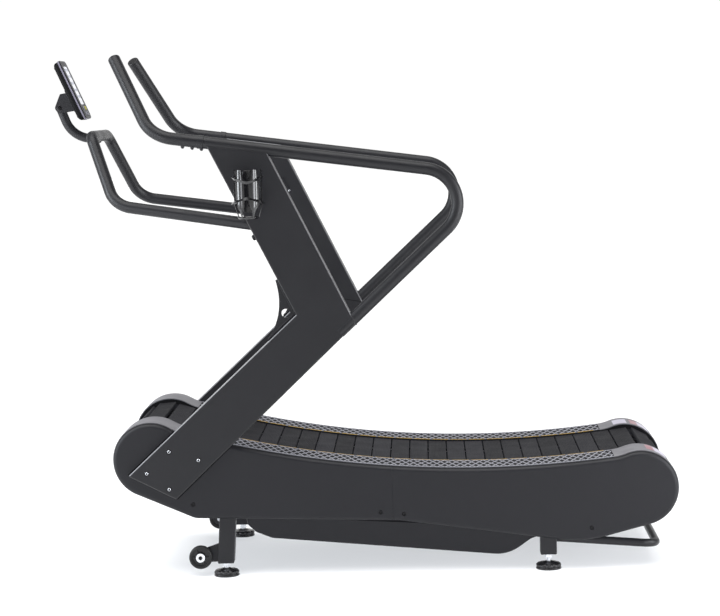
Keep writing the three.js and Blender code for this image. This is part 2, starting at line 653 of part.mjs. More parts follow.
function pivotBolt() {
  const profile = [[0, -25], [8, -25], [8, -19.4], [5, -19.4], [5, 19.4], [8, 19.4], [8, 25], [0, 25]];
  return lathe(profile, 12).translate(CONSOLE_PIVOT.x, 0, CONSOLE_PIVOT.z);
}

// Pieces of the console head are drawn upright about the pivot and lean back together.
const consoleHead = new THREE.Group();
consoleHead.position.copy(CONSOLE_PIVOT);
consoleHead.rotation.y = CONSOLE_TILT;
treadmill.add(consoleHead);

function slab(halfWidth, low, high, x0, x1, radius) {
  const corners = [[-halfWidth, low, radius], [halfWidth, low, radius], [halfWidth, high, radius], [-halfWidth, high, radius]];
  const plan = outline(rounded(corners, 3));
  const geometry = new THREE.ExtrudeGeometry(plan, { depth: x1 - x0, bevelEnabled: false, curveSegments: 1 });
  const turn = new THREE.Matrix4().makeBasis(
    new THREE.Vector3(0, 1, 0), new THREE.Vector3(0, 0, 1), new THREE.Vector3(1, 0, 0));
  return geometry.applyMatrix4(turn).translate(x0, 0, 0);
}

function consoleBracket() {
  const web = CONSOLE.back - GAP;
  const cheek = outline(rounded([[web, 34], [web - 22, 40, 4], [-15, 6, 12], [-10, -14, 12], [web, -28]], 3));
  const hole = cylinderY(5.4, -30, 30, 0, 0, 12);
  const pieces = [
    across(cheek, -18.8, -14.9), across(cheek, 14.9, 18.8), slab(26, -30, 44, web - 4, web, 4),
  ];
  return cut(join(...pieces), hole);
}

function backShell() {
  const { back, split, low, high, halfWidth } = CONSOLE;
  const lowPart = slab(halfWidth - 1, low + 1, high - 1, back + 6, split - GAP, 12);
  const hump = slab(halfWidth - 8, low + 12, high - 6, back, back + 7, 10);
  const hollow = slab(halfWidth - 4, low + 4, high - 4, back + 9, split + 2, 9);
  const pocket = slab(halfWidth - 12, low + 16, high - 10, back + 3, back + 10, 7);
  return cut(join(lowPart, hump), hollow, pocket);
}

const KEYS = [
  { name: 'console_key_start', y: KEY.y, z: KEY.upper, finish: KEY_GREEN },
  { name: 'console_key_stop', y: -KEY.y, z: KEY.upper, finish: KEY_GREY },
  { name: 'console_key_mode', y: -KEY.y, z: KEY.lower, finish: KEY_GREY },
  { name: 'console_key_target', y: KEY.y, z: KEY.lower, finish: KEY_GREY },
];

function keySlab(key, x0, x1, grow) {
  const slabAt = slab(KEY.width / 2 + grow, -KEY.height / 2 - grow, KEY.height / 2 + grow, x0, x1, 3);
  return slabAt.translate(0, key.y, key.z);
}

function bezel() {
  const { split, face, low, high, halfWidth } = CONSOLE;
  const window = slab(DISPLAY.halfWidth + GAP, DISPLAY.low - GAP, DISPLAY.high + GAP, face - 2.5, face + 2, 3);
  const wells = KEYS.map((key) => keySlab(key, face - 6, face + 2, 0.4));
  return cut(slab(halfWidth, low, high, split, face, 13), window, ...wells);
}

// Assembly ---------------------------------------------------------------------------------------
for (const [label, side] of [['left', -1], ['right', 1]]) {
  place(`side_frame_${label}`, sideFrame(side), PAINT);
  place(`bearing_rail_${label}`, bearingRail(side), STEEL);
  place(`front_pulley_${label}`, pulley(FRONT_AXLE, side), ALUMINIUM);
  place(`rear_pulley_${label}`, pulley(REAR_AXLE, side), ALUMINIUM);
  place(`rear_bearing_${label}`, bearingUnit(REAR_AXLE, side, 27), STEEL);
  place(`front_cover_${label}`, sideCover(side, true), PLASTIC);
  place(`rear_cover_${label}`, sideCover(side, false), PLASTIC);
  place(`foot_rail_${label}`, footRail(side), TRIM);
  place(`front_arch_cover_${label}`, archCover(side, true), TRIM);
  place(`rear_arch_cover_${label}`, archCover(side, false), TRIM);
  place(`upright_${label}`, upright(side), PAINT);
  place(`handrail_loop_${label}`, handrailLoop(side), PAINT);
  place(`handrail_grip_${label}`, handrailGrip(side), PAINT);
  place(`grip_end_cap_${label}`, gripCap(side), BLACK);
  place(`front_post_${label}`, frontPost(side), PAINT);
  place(`rear_post_${label}`, post(REAR_FOOT_X + 6, 47, REAR_FOOT_X + 7, 243, side), PAINT);
  place(`transport_wheel_${label}`, transportWheel(side), BLACK);
  place(`front_levelling_foot_${label}`, levellingFoot(FRONT_FOOT_X + 2, side, 41), BLACK);
  place(`rear_levelling_foot_${label}`, levellingFoot(REAR_FOOT_X + 6, side, 47), BLACK);
}
place('front_bearing_left', bearingUnit(FRONT_AXLE, -1, 27), STEEL);
place('front_one_way_bearing', bearingUnit(FRONT_AXLE, 1, 31), STEEL);
place('front_shaft', cylinderY(SHAFT_RADIUS, -SHAFT_END, SHAFT_END, FRONT_AXLE.x, FRONT_AXLE.y), STEEL);
place('rear_shaft', cylinderY(SHAFT_RADIUS, -SHAFT_END, SHAFT_END, REAR_AXLE.x, REAR_AXLE.y), STEEL);
place('front_cross_beam', beam(FRONT_BEAM, POST.y - POST.size / 2 - GAP), PAINT);
place('rear_cross_beam', beam(REAR_BEAM, POST.y - POST.size / 2 - GAP), PAINT);
place('slat_belt', slatBelt(), RUBBER);
place('belly_pan', bellyPan(), PLASTIC);
place('rear_lift_handle', bentTube([
  [REAR_FOOT_X + 32.5, -303, 92], [898, -303, 66, 45], [898, 303, 66, 45], [REAR_FOOT_X + 32.5, 303, 92],
], 12.5), PAINT);
place('lower_handlebar', lowerHandlebar(), PAINT);
place('bottle_holder', bottleHolder(), BLACK);
place('console_stem', consoleStem(), PAINT);
place('console_pivot_bolt', pivotBolt(), CHROME);
place('console_bracket', consoleBracket(), PAINT, consoleHead);
place('console_back_shell', backShell(), BLACK, consoleHead);
place('console_bezel', bezel(), PLASTIC, consoleHead);
place('console_display', slab(DISPLAY.halfWidth, DISPLAY.low, DISPLAY.high,
  CONSOLE.face - 2.2, CONSOLE.face - 2.2 + DISPLAY.thickness, 3), SCREEN, consoleHead);
for (const key of KEYS) {
  place(key.name, keySlab(key, CONSOLE.face - 4, CONSOLE.face + 1.5, 0), key.finish, consoleHead);
}

export default treadmill;
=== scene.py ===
"""Looks of a curved manual treadmill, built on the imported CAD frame. Metres, +Z up, +X to the rear."""
import json
import math
import random

import bmesh
import bpy
from mathutils import Matrix, Vector


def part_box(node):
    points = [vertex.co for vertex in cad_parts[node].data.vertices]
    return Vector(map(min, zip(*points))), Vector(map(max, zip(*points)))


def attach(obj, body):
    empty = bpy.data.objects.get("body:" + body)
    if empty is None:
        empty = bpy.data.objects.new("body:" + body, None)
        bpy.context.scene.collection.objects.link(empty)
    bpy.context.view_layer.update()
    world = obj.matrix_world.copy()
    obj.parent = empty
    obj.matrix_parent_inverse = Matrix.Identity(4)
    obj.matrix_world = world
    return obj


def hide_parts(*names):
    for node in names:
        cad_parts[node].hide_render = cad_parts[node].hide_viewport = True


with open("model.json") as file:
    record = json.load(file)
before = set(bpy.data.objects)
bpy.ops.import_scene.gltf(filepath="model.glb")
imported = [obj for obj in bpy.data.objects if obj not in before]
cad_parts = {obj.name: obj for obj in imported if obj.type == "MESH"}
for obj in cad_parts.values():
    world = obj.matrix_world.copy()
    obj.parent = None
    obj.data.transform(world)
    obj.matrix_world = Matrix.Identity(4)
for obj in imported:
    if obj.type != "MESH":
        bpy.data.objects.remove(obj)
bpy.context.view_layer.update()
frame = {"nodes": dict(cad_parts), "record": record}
NODES = frame["nodes"]
BODY_OF = {n: body for body, names in frame["record"]["behaviour"]["bodies"].items() for n in names}
SIDES = (("left", -1), ("right", 1))
TURN = 2 * math.pi

# The machine's mid-plane: the slat belt is centred on it.
_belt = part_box("slat_belt")
MID = (_belt[0].y + _belt[1].y) / 2


# ------------------------------------------------------------------------------------------------
# Materials
# ------------------------------------------------------------------------------------------------
def rgb(code):
    """A linear colour from an sRGB hex code."""
    parts = [((code >> shift) & 255) / 255 for shift in (16, 8, 0)]
    return tuple(c / 12.92 if c <= 0.04045 else ((c + 0.055) / 1.055) ** 2.4 for c in parts) + (1,)


class Graph:
    """Small helper that builds one node material."""

    def __init__(self, name):
        self.material = bpy.data.materials.new(name)
        self.material.use_nodes = True
        self.tree = self.material.node_tree
        self.shader = self.tree.nodes["Principled BSDF"]
        self.coords = self.tree.nodes.new("ShaderNodeTexCoord").outputs["Object"]

    def link(self, output, socket):
        self.tree.links.new(output, socket)

    def stretched(self, scale):
        made = self.tree.nodes.new("ShaderNodeMapping")
        made.inputs["Scale"].default_value = scale
        self.link(self.coords, made.inputs["Vector"])
        return made.outputs["Vector"]

    def noise(self, scale, detail=3.0, roughness=0.55, stretch=None):
        made = self.tree.nodes.new("ShaderNodeTexNoise")
        made.inputs["Scale"].default_value = scale
        made.inputs["Detail"].default_value = detail
        made.inputs["Roughness"].default_value = roughness
        self.link(self.stretched(stretch) if stretch else self.coords, made.inputs["Vector"])
        return made.outputs["Fac"]

    def ramp(self, value, low, high, out_low, out_high):
        made = self.tree.nodes.new("ShaderNodeMapRange")
        for key, number in (("From Min", low), ("From Max", high), ("To Min", out_low), ("To Max", out_high)):
            made.inputs[key].default_value = number
        self.link(value, made.inputs["Value"])
        return made.outputs["Result"]

    def math(self, operation, a, b):
        made = self.tree.nodes.new("ShaderNodeMath")
        made.operation = operation
        for socket, value in zip(made.inputs, (a, b)):
            if isinstance(value, (int, float)):
                socket.default_value = value
            else:
                self.link(value, socket)
        return made.outputs[0]

    def mix(self, factor, a, b, blend="MIX"):
        made = self.tree.nodes.new("ShaderNodeMix")
        made.data_type = "RGBA"
        made.blend_type = blend
        self.link(factor, made.inputs["Factor"])
        for socket, value in ((made.inputs[6], a), (made.inputs[7], b)):
            if isinstance(value, tuple):
                socket.default_value = value
            else:
                self.link(value, socket)
        return made.outputs[2]

    def bump(self, height, distance, strength=1.0, under=None):
        made = self.tree.nodes.new("ShaderNodeBump")
        made.inputs["Distance"].default_value = distance
        made.inputs["Strength"].default_value = strength
        self.link(height, made.inputs["Height"])
        if under:
            self.link(under, made.inputs["Normal"])
        return made.outputs["Normal"]

    def facing_up(self):
        geometry = self.tree.nodes.new("ShaderNodeNewGeometry")
        split = self.tree.nodes.new("ShaderNodeSeparateXYZ")
        self.link(geometry.outputs["Normal"], split.inputs[0])
        return split.outputs["Z"]


def scaled(colour, factor):
    """A linear colour made lighter or darker, kept within 1."""
    return tuple(min(1.0, c * factor) for c in colour[:3]) + (1,)


def finish(name, code, roughness, metallic=0.0, grain=(900.0, 0.00003), spread=0.07, mottle=0.10,
           dust=0.0, scuff=0.0, streak=None, coat=0.0, tone=False, wave=0.00025, specular=0.5):
    """A surface with colour variation, fine moulded or sprayed grain, worn patches and settled dust."""
    g = Graph(name)
    base = rgb(code)
    broad = g.ramp(g.noise(5.0, 6.0, 0.6), 0.3, 0.7, 0.0, 1.0)
    colour = g.mix(broad, scaled(base, 1 - mottle), scaled(base, 1 + mottle))
    fine = g.noise(grain[0] * 0.35, 4.0, 0.65)
    colour = g.mix(g.ramp(fine, 0.35, 0.75, 0.0, 0.35), colour, scaled(base, 1.22))
    if tone:
        attribute = g.tree.nodes.new("ShaderNodeAttribute")
        attribute.attribute_name = "tone"
        colour = g.mix(g.ramp(attribute.outputs["Fac"], 0.3, 1, 0, 1), colour, scaled(base, 1.75))
    if streak:
        lines = g.noise(streak[0], 3.0, 0.6, stretch=streak[1])
        colour = g.mix(g.ramp(lines, 0.45, 0.75, 0.0, streak[2]), colour, scaled(base, 1.5))
    if scuff:
        scratches = g.noise(38.0, 8.0, 0.75, stretch=(1.0, 3.0, 0.6))
        worn = g.ramp(scratches, 0.62, 0.74, 0.0, scuff)
        colour = g.mix(worn, colour, scaled(base, 1.9))
    if dust:
        lit = g.math("MULTIPLY", g.ramp(g.facing_up(), 0.2, 1.0, 0.0, dust),
                     g.ramp(g.noise(22.0, 6.0, 0.7), 0.3, 0.8, 0.3, 1.0))
        colour = g.mix(lit, colour, (0.30, 0.29, 0.28, 1))
    g.link(colour, g.shader.inputs["Base Color"])
    patch = g.noise(14.0, 5.0, 0.6)
    rough = g.ramp(patch, 0.3, 0.7, roughness - spread, roughness + spread)
    rough = g.math("ADD", rough, g.ramp(fine, 0.3, 0.8, -0.03, 0.05))
    g.link(rough, g.shader.inputs["Roughness"])
    g.shader.inputs["Metallic"].default_value = metallic
    g.shader.inputs["Specular IOR Level"].default_value = specular
    if coat:
        g.shader.inputs["Coat Weight"].default_value = coat
        g.shader.inputs["Coat Roughness"].default_value = 0.08
    waves = g.bump(g.noise(46.0, 3.0, 0.5), wave, 0.35)
    normal = g.bump(g.noise(grain[0], 3.0, 0.6), grain[1], 1.0, under=waves)
    g.link(normal, g.shader.inputs["Normal"])
    return g.material


PAINT = finish("powder_coat", 0x18181b, 0.46, grain=(1100.0, 0.00004), dust=0.03, mottle=0.06, specular=0.28)
TUBE_PAINT = finish("tube_powder_coat", 0x17171a, 0.42, grain=(1400.0, 0.00001), dust=0.02, mottle=0.06,
                    specular=0.32)
COVER = finish("moulded_cover", 0x141418, 0.48, grain=(1000.0, 0.00005), spread=0.05, dust=0.03,
               mottle=0.05, specular=0.28)
ARCH = finish("grey_arch_plastic", 0x626165, 0.52, grain=(800.0, 0.00005), dust=0.05, mottle=0.06,
              specular=0.2)
LATTICE = finish("grey_lattice_plastic", 0x7a7a80, 0.56, grain=(800.0, 0.00005), dust=0.06, scuff=0.2,
                 specular=0.12)
TREAD_WELL = finish("lattice_recess", 0x1c1c1e, 0.85, grain=(700.0, 0.00006), dust=0.04, specular=0.05)
SLAT = finish("ribbed_slat_rubber", 0x1c1c1f, 0.72, grain=(1300.0, 0.00006), spread=0.06, dust=0.04,
              scuff=0.20, streak=(60.0, (1.0, 0.05, 1.0), 0.30), tone=True, specular=0.06)
BELT = finish("drive_belt_rubber", 0x101011, 0.8, grain=(900.0, 0.00008), specular=0.1)
RUBBER = finish("black_rubber", 0x131314, 0.52, grain=(700.0, 0.00008), dust=0.05, spread=0.10, specular=0.35)
GLOSS = finish("gloss_black_plastic", 0x0e0e10, 0.20, grain=(500.0, 0.000004), spread=0.03, coat=0.3,
               wave=0.00004)
BLACK = finish("satin_black_plastic", 0x131315, 0.38, grain=(900.0, 0.00004), spread=0.08, specular=0.4)
ZINC = finish("zinc_plate", 0xc9ccd0, 0.24, metallic=1.0, grain=(600.0, 0.00002), mottle=0.08, spread=0.08)
CHROME = finish("chrome_screw", 0xb4b6ba, 0.22, metallic=1.0, grain=(600.0, 0.00001), mottle=0.05,
                spread=0.04)
DARK_BOLT = finish("black_oxide_bolt", 0x0e0e10, 0.30, metallic=0.6, grain=(700.0, 0.00003))
STEEL = finish("machined_steel", 0xa9abaf, 0.30, metallic=1.0, grain=(900.0, 0.00002),
               streak=(240.0, (1.0, 30.0, 1.0), 0.5), mottle=0.10)
YELLOW = finish("yellow_line", 0xa8862f, 0.55, grain=(900.0, 0.00003), dust=0.08, mottle=0.14, specular=0.15)
# Near-black: the elbow seam's own colour, and painted shade in bolt sockets, in the arch gaps and behind the
# leg.
SEAL_AND_SHADE = finish("dark_seal_and_painted_shade", 0x08080a, 0.7, grain=(700.0, 0.00005), specular=0.1)
LABEL_PALE = finish("blank_label_pale", 0x9d99a6, 0.35, grain=(500.0, 0.00001), mottle=0.08, specular=0.25)
LABEL_RED = finish("blank_label_red", 0x7c5056, 0.35, grain=(500.0, 0.00001), mottle=0.08, specular=0.25)
KEY_GREEN = finish("green_key_rubber", 0x97923f, 0.55, grain=(900.0, 0.00004), specular=0.3)
KEY_GREY = finish("grey_key_rubber", 0x6a6a70, 0.55, grain=(900.0, 0.00004), specular=0.3)
BEZEL = finish("console_bezel_plastic", 0x1b1b1f, 0.42, grain=(1200.0, 0.000004), spread=0.04, wave=0.00004,
               specular=0.18)
CASE = finish("console_case_plastic", 0x050506, 0.55, grain=(1200.0, 0.000004), spread=0.05, wave=0.00004,
              specular=0.10)
WASHER = finish("bright_washer", 0xd6d8dc, 0.28, metallic=0.4, grain=(700.0, 0.00001), mottle=0.05,
                spread=0.05)
FOOT_PAD = finish("moulded_foot_pad", 0x0e0e11, 0.26, grain=(700.0, 0.00004), dust=0.03, spread=0.06,
                  specular=0.5)
SEGMENT = finish("display_segment", 0x9498a6, 0.30, grain=(500.0, 0.00001), mottle=0.06, specular=0.3)
# Painted highlight: the light line round the console face's edge, where its rounding catches light.
BEZEL_EDGE_HIGHLIGHT = finish("console_painted_edge_highlight", 0x6b6875, 0.42, grain=(900.0, 0.00002), metallic=0.1)
# A darker copy of the cover plastic for its rims: painted shade.
COVER_RIM_SHADE = finish("moulded_cover_rim_painted_shade", 0x111114, 0.6, grain=(1000.0, 0.00005), mottle=0.05, specular=0.15)


def painted_highlight_edge_material():
    """Powder coat whose colour lightens along an edge where it faces up: a painted highlight, standing in for
    part of the edge's highlight.
    """
    g = Graph("powder_coat_painted_edge_highlight")
    painted_highlight_amount = g.ramp(g.facing_up(), 0.1, 0.70, 0.0, 1.0)
    g.link(g.mix(painted_highlight_amount, (0.007, 0.007, 0.008, 1), (0.26, 0.26, 0.275, 1)), g.shader.inputs["Base Color"])
    g.link(g.ramp(g.noise(14.0, 5.0, 0.6), 0.3, 0.7, 0.28, 0.38), g.shader.inputs["Roughness"])
    g.shader.inputs["Specular IOR Level"].default_value = 0.4
    g.link(g.bump(g.noise(1100.0, 3.0, 0.6), 0.00003), g.shader.inputs["Normal"])
    return g.material


PAINT_EDGE_HIGHLIGHT = painted_highlight_edge_material()
PAINT_SHEEN = finish("powder_coat_upper_face", 0x1d1d21, 0.26, grain=(1100.0, 0.000008), mottle=0.06,
                     wave=0.00004,
                     spread=0.04, specular=0.7)


def screen_material():
    g = Graph("pale_display")
    faint = g.ramp(g.noise(60.0, 4.0, 0.6), 0.3, 0.7, 0.0, 1.0)
    colour = g.mix(faint, rgb(0xaaaebb), rgb(0xbec2ce))
    g.link(colour, g.shader.inputs["Base Color"])
    g.link(g.ramp(g.noise(25.0, 3.0), 0.3, 0.7, 0.10, 0.2), g.shader.inputs["Roughness"])
    g.shader.inputs["Coat Weight"].default_value = 0.6
    g.shader.inputs["Coat Roughness"].default_value = 0.05
    g.link(g.bump(g.noise(500.0), 0.00001), g.shader.inputs["Normal"])
    # The faint emission is painted light: the display glows a little.
    g.shader.inputs["Emission Color"].default_value = (0.72, 0.76, 0.86, 1)
    g.shader.inputs["Emission Strength"].default_value = 0.04
    return g.material


SCREEN = screen_material()


# ------------------------------------------------------------------------------------------------
# Mesh building
# ------------------------------------------------------------------------------------------------
def settle(obj, material, body, slot=None, replaces=(), angle=35, weighted=True):
    """Shades a new piece smoothly with sharp edges, gives it its material and puts it on its body."""
    mesh = obj.data
    mesh.polygons.foreach_set("use_smooth", [True] * len(mesh.polygons))
    mesh.set_sharp_from_angle(angle=math.radians(angle))
    mesh.update()
    if material:
        mesh.materials.append(material)
    if weighted:
        keep = obj.modifiers.new("even_normals", "WEIGHTED_NORMAL")
        keep.keep_sharp = True
        keep.weight = 60
    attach(obj, body)
    if replaces:
        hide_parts(*replaces)
    return obj


def extra_material(obj, material, chosen):
    """Gives one more material to the faces whose normal passes a test."""
    obj.data.materials.append(material)
    for face in obj.data.polygons:
        if chosen(face.normal):
            face.material_index = len(obj.data.materials) - 1


def put_in_scene(name, data):
    obj = bpy.data.objects.new(name, data)
    bpy.context.scene.collection.objects.link(obj)
    return obj


def from_lists(name, verts, faces):
    mesh = bpy.data.meshes.new(name)
    mesh.from_pydata([tuple(v) for v in verts], [], faces)
    mesh.validate()
    return put_in_scene(name, mesh)


def from_bmesh(name, bm):
    bmesh.ops.recalc_face_normals(bm, faces=bm.faces)
    mesh = bpy.data.meshes.new(name)
    bm.to_mesh(mesh)
    bm.free()
    return put_in_scene(name, mesh)


def round_edges(bm, width, segments=2, angle=28):
    """Bevels every edge sharper than an angle."""
    bmesh.ops.recalc_face_normals(bm, faces=bm.faces)
    bm.normal_update()
    limit = math.radians(angle)
    edges = [e for e in bm.edges if len(e.link_faces) == 2 and e.calc_face_angle(0) > limit]
    if edges:
        bmesh.ops.bevel(bm, geom=edges, offset=width, offset_type="OFFSET", segments=segments,
                        profile=0.5, affect="EDGES", clamp_overlap=True)


def refined(node, material, width, segments, slot, angle):
    """A CAD node's own shape with its flat facets merged and its edges rounded."""
    bm = bmesh.new()
    bm.from_mesh(NODES[node].data)
    bmesh.ops.remove_doubles(bm, verts=bm.verts, dist=0.00002)
    bmesh.ops.dissolve_limit(bm, angle_limit=math.radians(0.6), verts=bm.verts, edges=bm.edges)
    round_edges(bm, width, segments, angle)
    settle(from_bmesh(node + "_finished", bm), material, BODY_OF[node], slot, [node])


class Parts:
    """Collects several shapes into one mesh."""

    def __init__(self):
        self.verts = []
        self.faces = []

    def add(self, verts, faces):
        base = len(self.verts)
        self.verts += [Vector(v) for v in verts]
        self.faces += [tuple(base + i for i in f) for f in faces]
        return self

    def place(self, matrix, verts, faces):
        return self.add([matrix @ Vector(v) for v in verts], faces)

    def turned(self, matrix, profile, soft, sides):
        """Adds a lathe body with its corners rounded."""
        return self.place(matrix, *lathe(fillet(profile, soft), sides))

    def make(self, name, material, slot, body="frame", **options):
        return settle(from_lists(name, self.verts, self.faces), material, body, slot, **options)


def ring_faces(rings, count, looped=False):
    """Four-sided faces between rings of count points each, laid one after the other."""
    faces = []
    for i in range(rings if looped else rings - 1):
        here, there = i * count, (i + 1) % rings * count
        for k in range(count):
            m = (k + 1) % count
            faces.append((here + k, here + m, there + m, there + k))
    return faces


def caps(rings, count):
    """The faces that close the first and the last ring."""
    return [tuple(range(count))[::-1], tuple(range((rings - 1) * count, rings * count))]


def lathe(profile, sides=48):
    """A closed turned body from (radius, height) pairs about Z."""
    verts, faces, rings = [], [], []
    for r, h in profile:
        if r <= 1e-7:
            rings.append([len(verts)])
            verts.append((0, 0, h))
        else:
            rings.append(list(range(len(verts), len(verts) + sides)))
            verts += [(r * math.cos(TURN * i / sides), r * math.sin(TURN * i / sides), h)
                      for i in range(sides)]
    pairs = list(zip(rings, rings[1:]))
    if len(rings[0]) > 1 and len(rings[-1]) > 1:
        pairs.append((rings[-1], rings[0]))
    for a, b in pairs:
        for i in range(sides):
            j = (i + 1) % sides
            if len(a) == 1:
                faces.append((a[0], b[j], b[i]))
            elif len(b) == 1:
                faces.append((a[i], a[j], b[0]))
            else:
                faces.append((a[i], a[j], b[j], b[i]))
    return verts, faces


def fillet(profile, radius=0.0008, steps=3):
    """Rounds the inner corners of a lathe profile, leaving its ends."""
    done = [profile[0]]
    for before, corner, after in zip(profile, profile[1:], profile[2:]):
        a, c, b = Vector(before), Vector(corner), Vector(after)
        room = min((a - c).length, (b - c).length) * 0.45
        reach = min(radius, room)
        start, end = c + (a - c).normalized() * reach, c + (b - c).normalized() * reach
        for i in range(steps + 1):
            t = i / steps
            p = start.lerp(c, t).lerp(c.lerp(end, t), t)
            done.append((p.x, p.y))
    done.append(profile[-1])
    return done


def turn_to(axis):
    """Matrix that turns +Z onto an axis."""
    return Vector((0, 0, 1)).rotation_difference(Vector(axis).normalized()).to_matrix().to_4x4()


def at(point, axis=(0, 0, 1), spin=0.0):
    return Matrix.Translation(Vector(point)) @ turn_to(axis) @ Matrix.Rotation(spin, 4, "Z")


def bend(before, corner, after, radius, steps):
    """Points of the arc that rounds a corner between its neighbours."""
    back, ahead = (before - corner).normalized(), (after - corner).normalized()
    turn = math.pi - back.angle(ahead)
    centre = corner + (back + ahead).normalized() * (radius / math.cos(turn / 2))
    start = corner + back * radius * math.tan(turn / 2) - centre
    end = corner + ahead * radius * math.tan(turn / 2) - centre
    return [centre + start * (math.sin((1 - i / steps) * turn) / math.sin(turn))
            + end * (math.sin(i / steps * turn) / math.sin(turn)) for i in range(steps + 1)]


def centreline(corners, per_degree=0.35):
    """Points along a bent tube through corners (point, bend radius)."""
    points = [Vector(corners[0][0])]
    for before, (corner, radius), after in zip(corners, corners[1:], corners[2:]):
        a, c, b = Vector(before[0]), Vector(corner), Vector(after[0])
        turn = math.degrees(math.pi - (a - c).angle(b - c))
        points += bend(a, c, b, radius, max(6, round(turn * per_degree)))
    points.append(Vector(corners[-1][0]))
    return points


def sweep(points, section):
    """A section of (sideways, upwards) points carried along a path without twist."""
    verts = []
    tangent = (points[1] - points[0]).normalized()
    up = Vector((0, 0, 1)) if abs(tangent.z) < 0.9 else Vector((1, 0, 0))
    side = tangent.cross(up).normalized()
    for i, p in enumerate(points):
        ahead = (points[min(i + 1, len(points) - 1)] - p)
        back = (p - points[max(i - 1, 0)])
        now = ((ahead.normalized() if ahead.length else Vector()) + (back.normalized() if back.length
                                                                     else Vector())).normalized()
        side = (side - now * side.dot(now)).normalized()
        over = side.cross(now)
        spread = 1.0
        if ahead.length and back.length:
            spread = 1.0 / max(0.6, math.cos(ahead.angle(back) / 2))
        for u, v in section:
            verts.append(p + side * u * (spread if abs(spread - 1) < 0.002 else 1) + over * v)
    return verts, ring_faces(len(points), len(section)) + caps(len(points), len(section))


def circle(radius, sides=32):
    return [(radius * math.cos(TURN * i / sides), radius * math.sin(TURN * i / sides)) for i in range(sides)]


def hex_prism(across_flats, low, high, chamfer=0.0008):
    r = across_flats / math.sqrt(3)
    verts = []
    for z, k in ((low, 1), (high - chamfer, 1), (high, 1 - chamfer * 1.6 / r)):
        verts += [(r * k * math.cos(math.pi / 3 * i), r * k * math.sin(math.pi / 3 * i), z) for i in range(6)]
    return verts, ring_faces(3, 6) + caps(3, 6)


# ------------------------------------------------------------------------------------------------
# The machine's lines in side view, the same as the CAD part's (metres here)
# ------------------------------------------------------------------------------------------------
FRONT_AXLE = Vector((-0.652, 0.370))
REAR_AXLE = Vector((0.847, 0.250))
RUN_RADIUS, RETURN_RADIUS, BELT_RADIUS = 3.404, 8.0, 0.103
ARCH_RADIUS, ARCH_BLEND, RAIL_RISE = 0.116, 0.150, 0.005
SLAT_COUNT, PITCH_DEPTH = 59, 0.020
UPRIGHT_LINE = [(-0.446, 1.331), (-0.189, 0.811), (-0.716, 0.329), (-0.571, 0.254), (-0.009, 0.779),
                (-0.259, 1.295)]
COVER_IN, COVER_OUT, SEAM = 0.353, 0.375, 0.088
RAIL_IN, RAIL_OUT = 0.216, 0.3525
UPRIGHT_IN, UPRIGHT_OUT = 0.357, 0.407
HANDRAIL_Y, HANDRAIL_RADIUS = 0.390, 0.019
GUSSET_IN, GUSSET_OUT = UPRIGHT_IN + 0.021, UPRIGHT_IN + 0.029


def crossing(a, ra, b, rb, upper=True):
    """The point that lies ra from a and rb from b, on one side of the line between them."""
    span = (b - a).length
    along = (ra * ra - rb * rb + span * span) / (2 * span)
    height = math.sqrt(ra * ra - along * along) * (1 if upper else -1)
    d = (b - a) / span
    return Vector((a.x + d.x * along - d.y * height, a.y + d.y * along + d.x * height))


def bearing(a, b):
    return math.atan2(b.y - a.y, b.x - a.x)


def arc(centre, radius, start, stop, steps):
    return [(centre.x + radius * math.cos(start + (stop - start) * i / steps),
             centre.y + radius * math.sin(start + (stop - start) * i / steps)) for i in range(steps + 1)]


RUN_CENTRE = crossing(FRONT_AXLE, RUN_RADIUS + BELT_RADIUS, REAR_AXLE, RUN_RADIUS + BELT_RADIUS)
RETURN_CENTRE = crossing(FRONT_AXLE, RETURN_RADIUS - BELT_RADIUS, REAR_AXLE, RETURN_RADIUS - BELT_RADIUS)
DECK_RADIUS = RUN_RADIUS - RAIL_RISE
FRONT_BLEND = crossing(FRONT_AXLE, ARCH_RADIUS + ARCH_BLEND, RUN_CENTRE, DECK_RADIUS - ARCH_BLEND, False)
REAR_BLEND = crossing(REAR_AXLE, ARCH_RADIUS + ARCH_BLEND, RUN_CENTRE, DECK_RADIUS - ARCH_BLEND)
LOOP = [
    (FRONT_AXLE, BELT_RADIUS, 1, bearing(FRONT_AXLE, RUN_CENTRE), bearing(RETURN_CENTRE, FRONT_AXLE) + TURN),
    (RETURN_CENTRE, RETURN_RADIUS, 1, bearing(RETURN_CENTRE, FRONT_AXLE), bearing(RETURN_CENTRE, REAR_AXLE)),
    (REAR_AXLE, BELT_RADIUS, 1, bearing(RETURN_CENTRE, REAR_AXLE), bearing(REAR_AXLE, RUN_CENTRE)),
    (RUN_CENTRE, RUN_RADIUS, -1, bearing(RUN_CENTRE, REAR_AXLE), bearing(RUN_CENTRE, FRONT_AXLE)),
]


def loop_place(distance, depth):
    """Point on the belt loop at a distance along its pitch line, with its outward direction."""
    left = distance
    for centre, radius, side, start, stop in LOOP:
        pitch = radius - side * PITCH_DEPTH
        length = pitch * abs(stop - start)
        if left <= length:
            angle = start + (stop - start) * left / length
            r = radius - side * depth
            c, s = math.cos(angle), math.sin(angle)
            return Vector((centre.x + r * c, centre.y + r * s)), Vector((side * c, side * s))
        left -= length
    return loop_place(0, depth)


PITCH_LENGTH = sum((r - side * PITCH_DEPTH) * abs(stop - start) for _, r, side, start, stop in LOOP)


def deck_run(depth, steps=48):
    """The foot rail's top line, lowered by a depth."""
    return arc(RUN_CENTRE, DECK_RADIUS + depth, bearing(RUN_CENTRE, FRONT_BLEND),
               bearing(RUN_CENTRE, REAR_BLEND), steps)


def front_arch(depth, start, steps=40):
    top = bearing(FRONT_AXLE, FRONT_BLEND)
    line = arc(FRONT_AXLE, ARCH_RADIUS - depth, start, top, steps)
    return line + arc(FRONT_BLEND, ARCH_BLEND + depth, top - math.pi, bearing(RUN_CENTRE, FRONT_BLEND),
                      10)[1:]


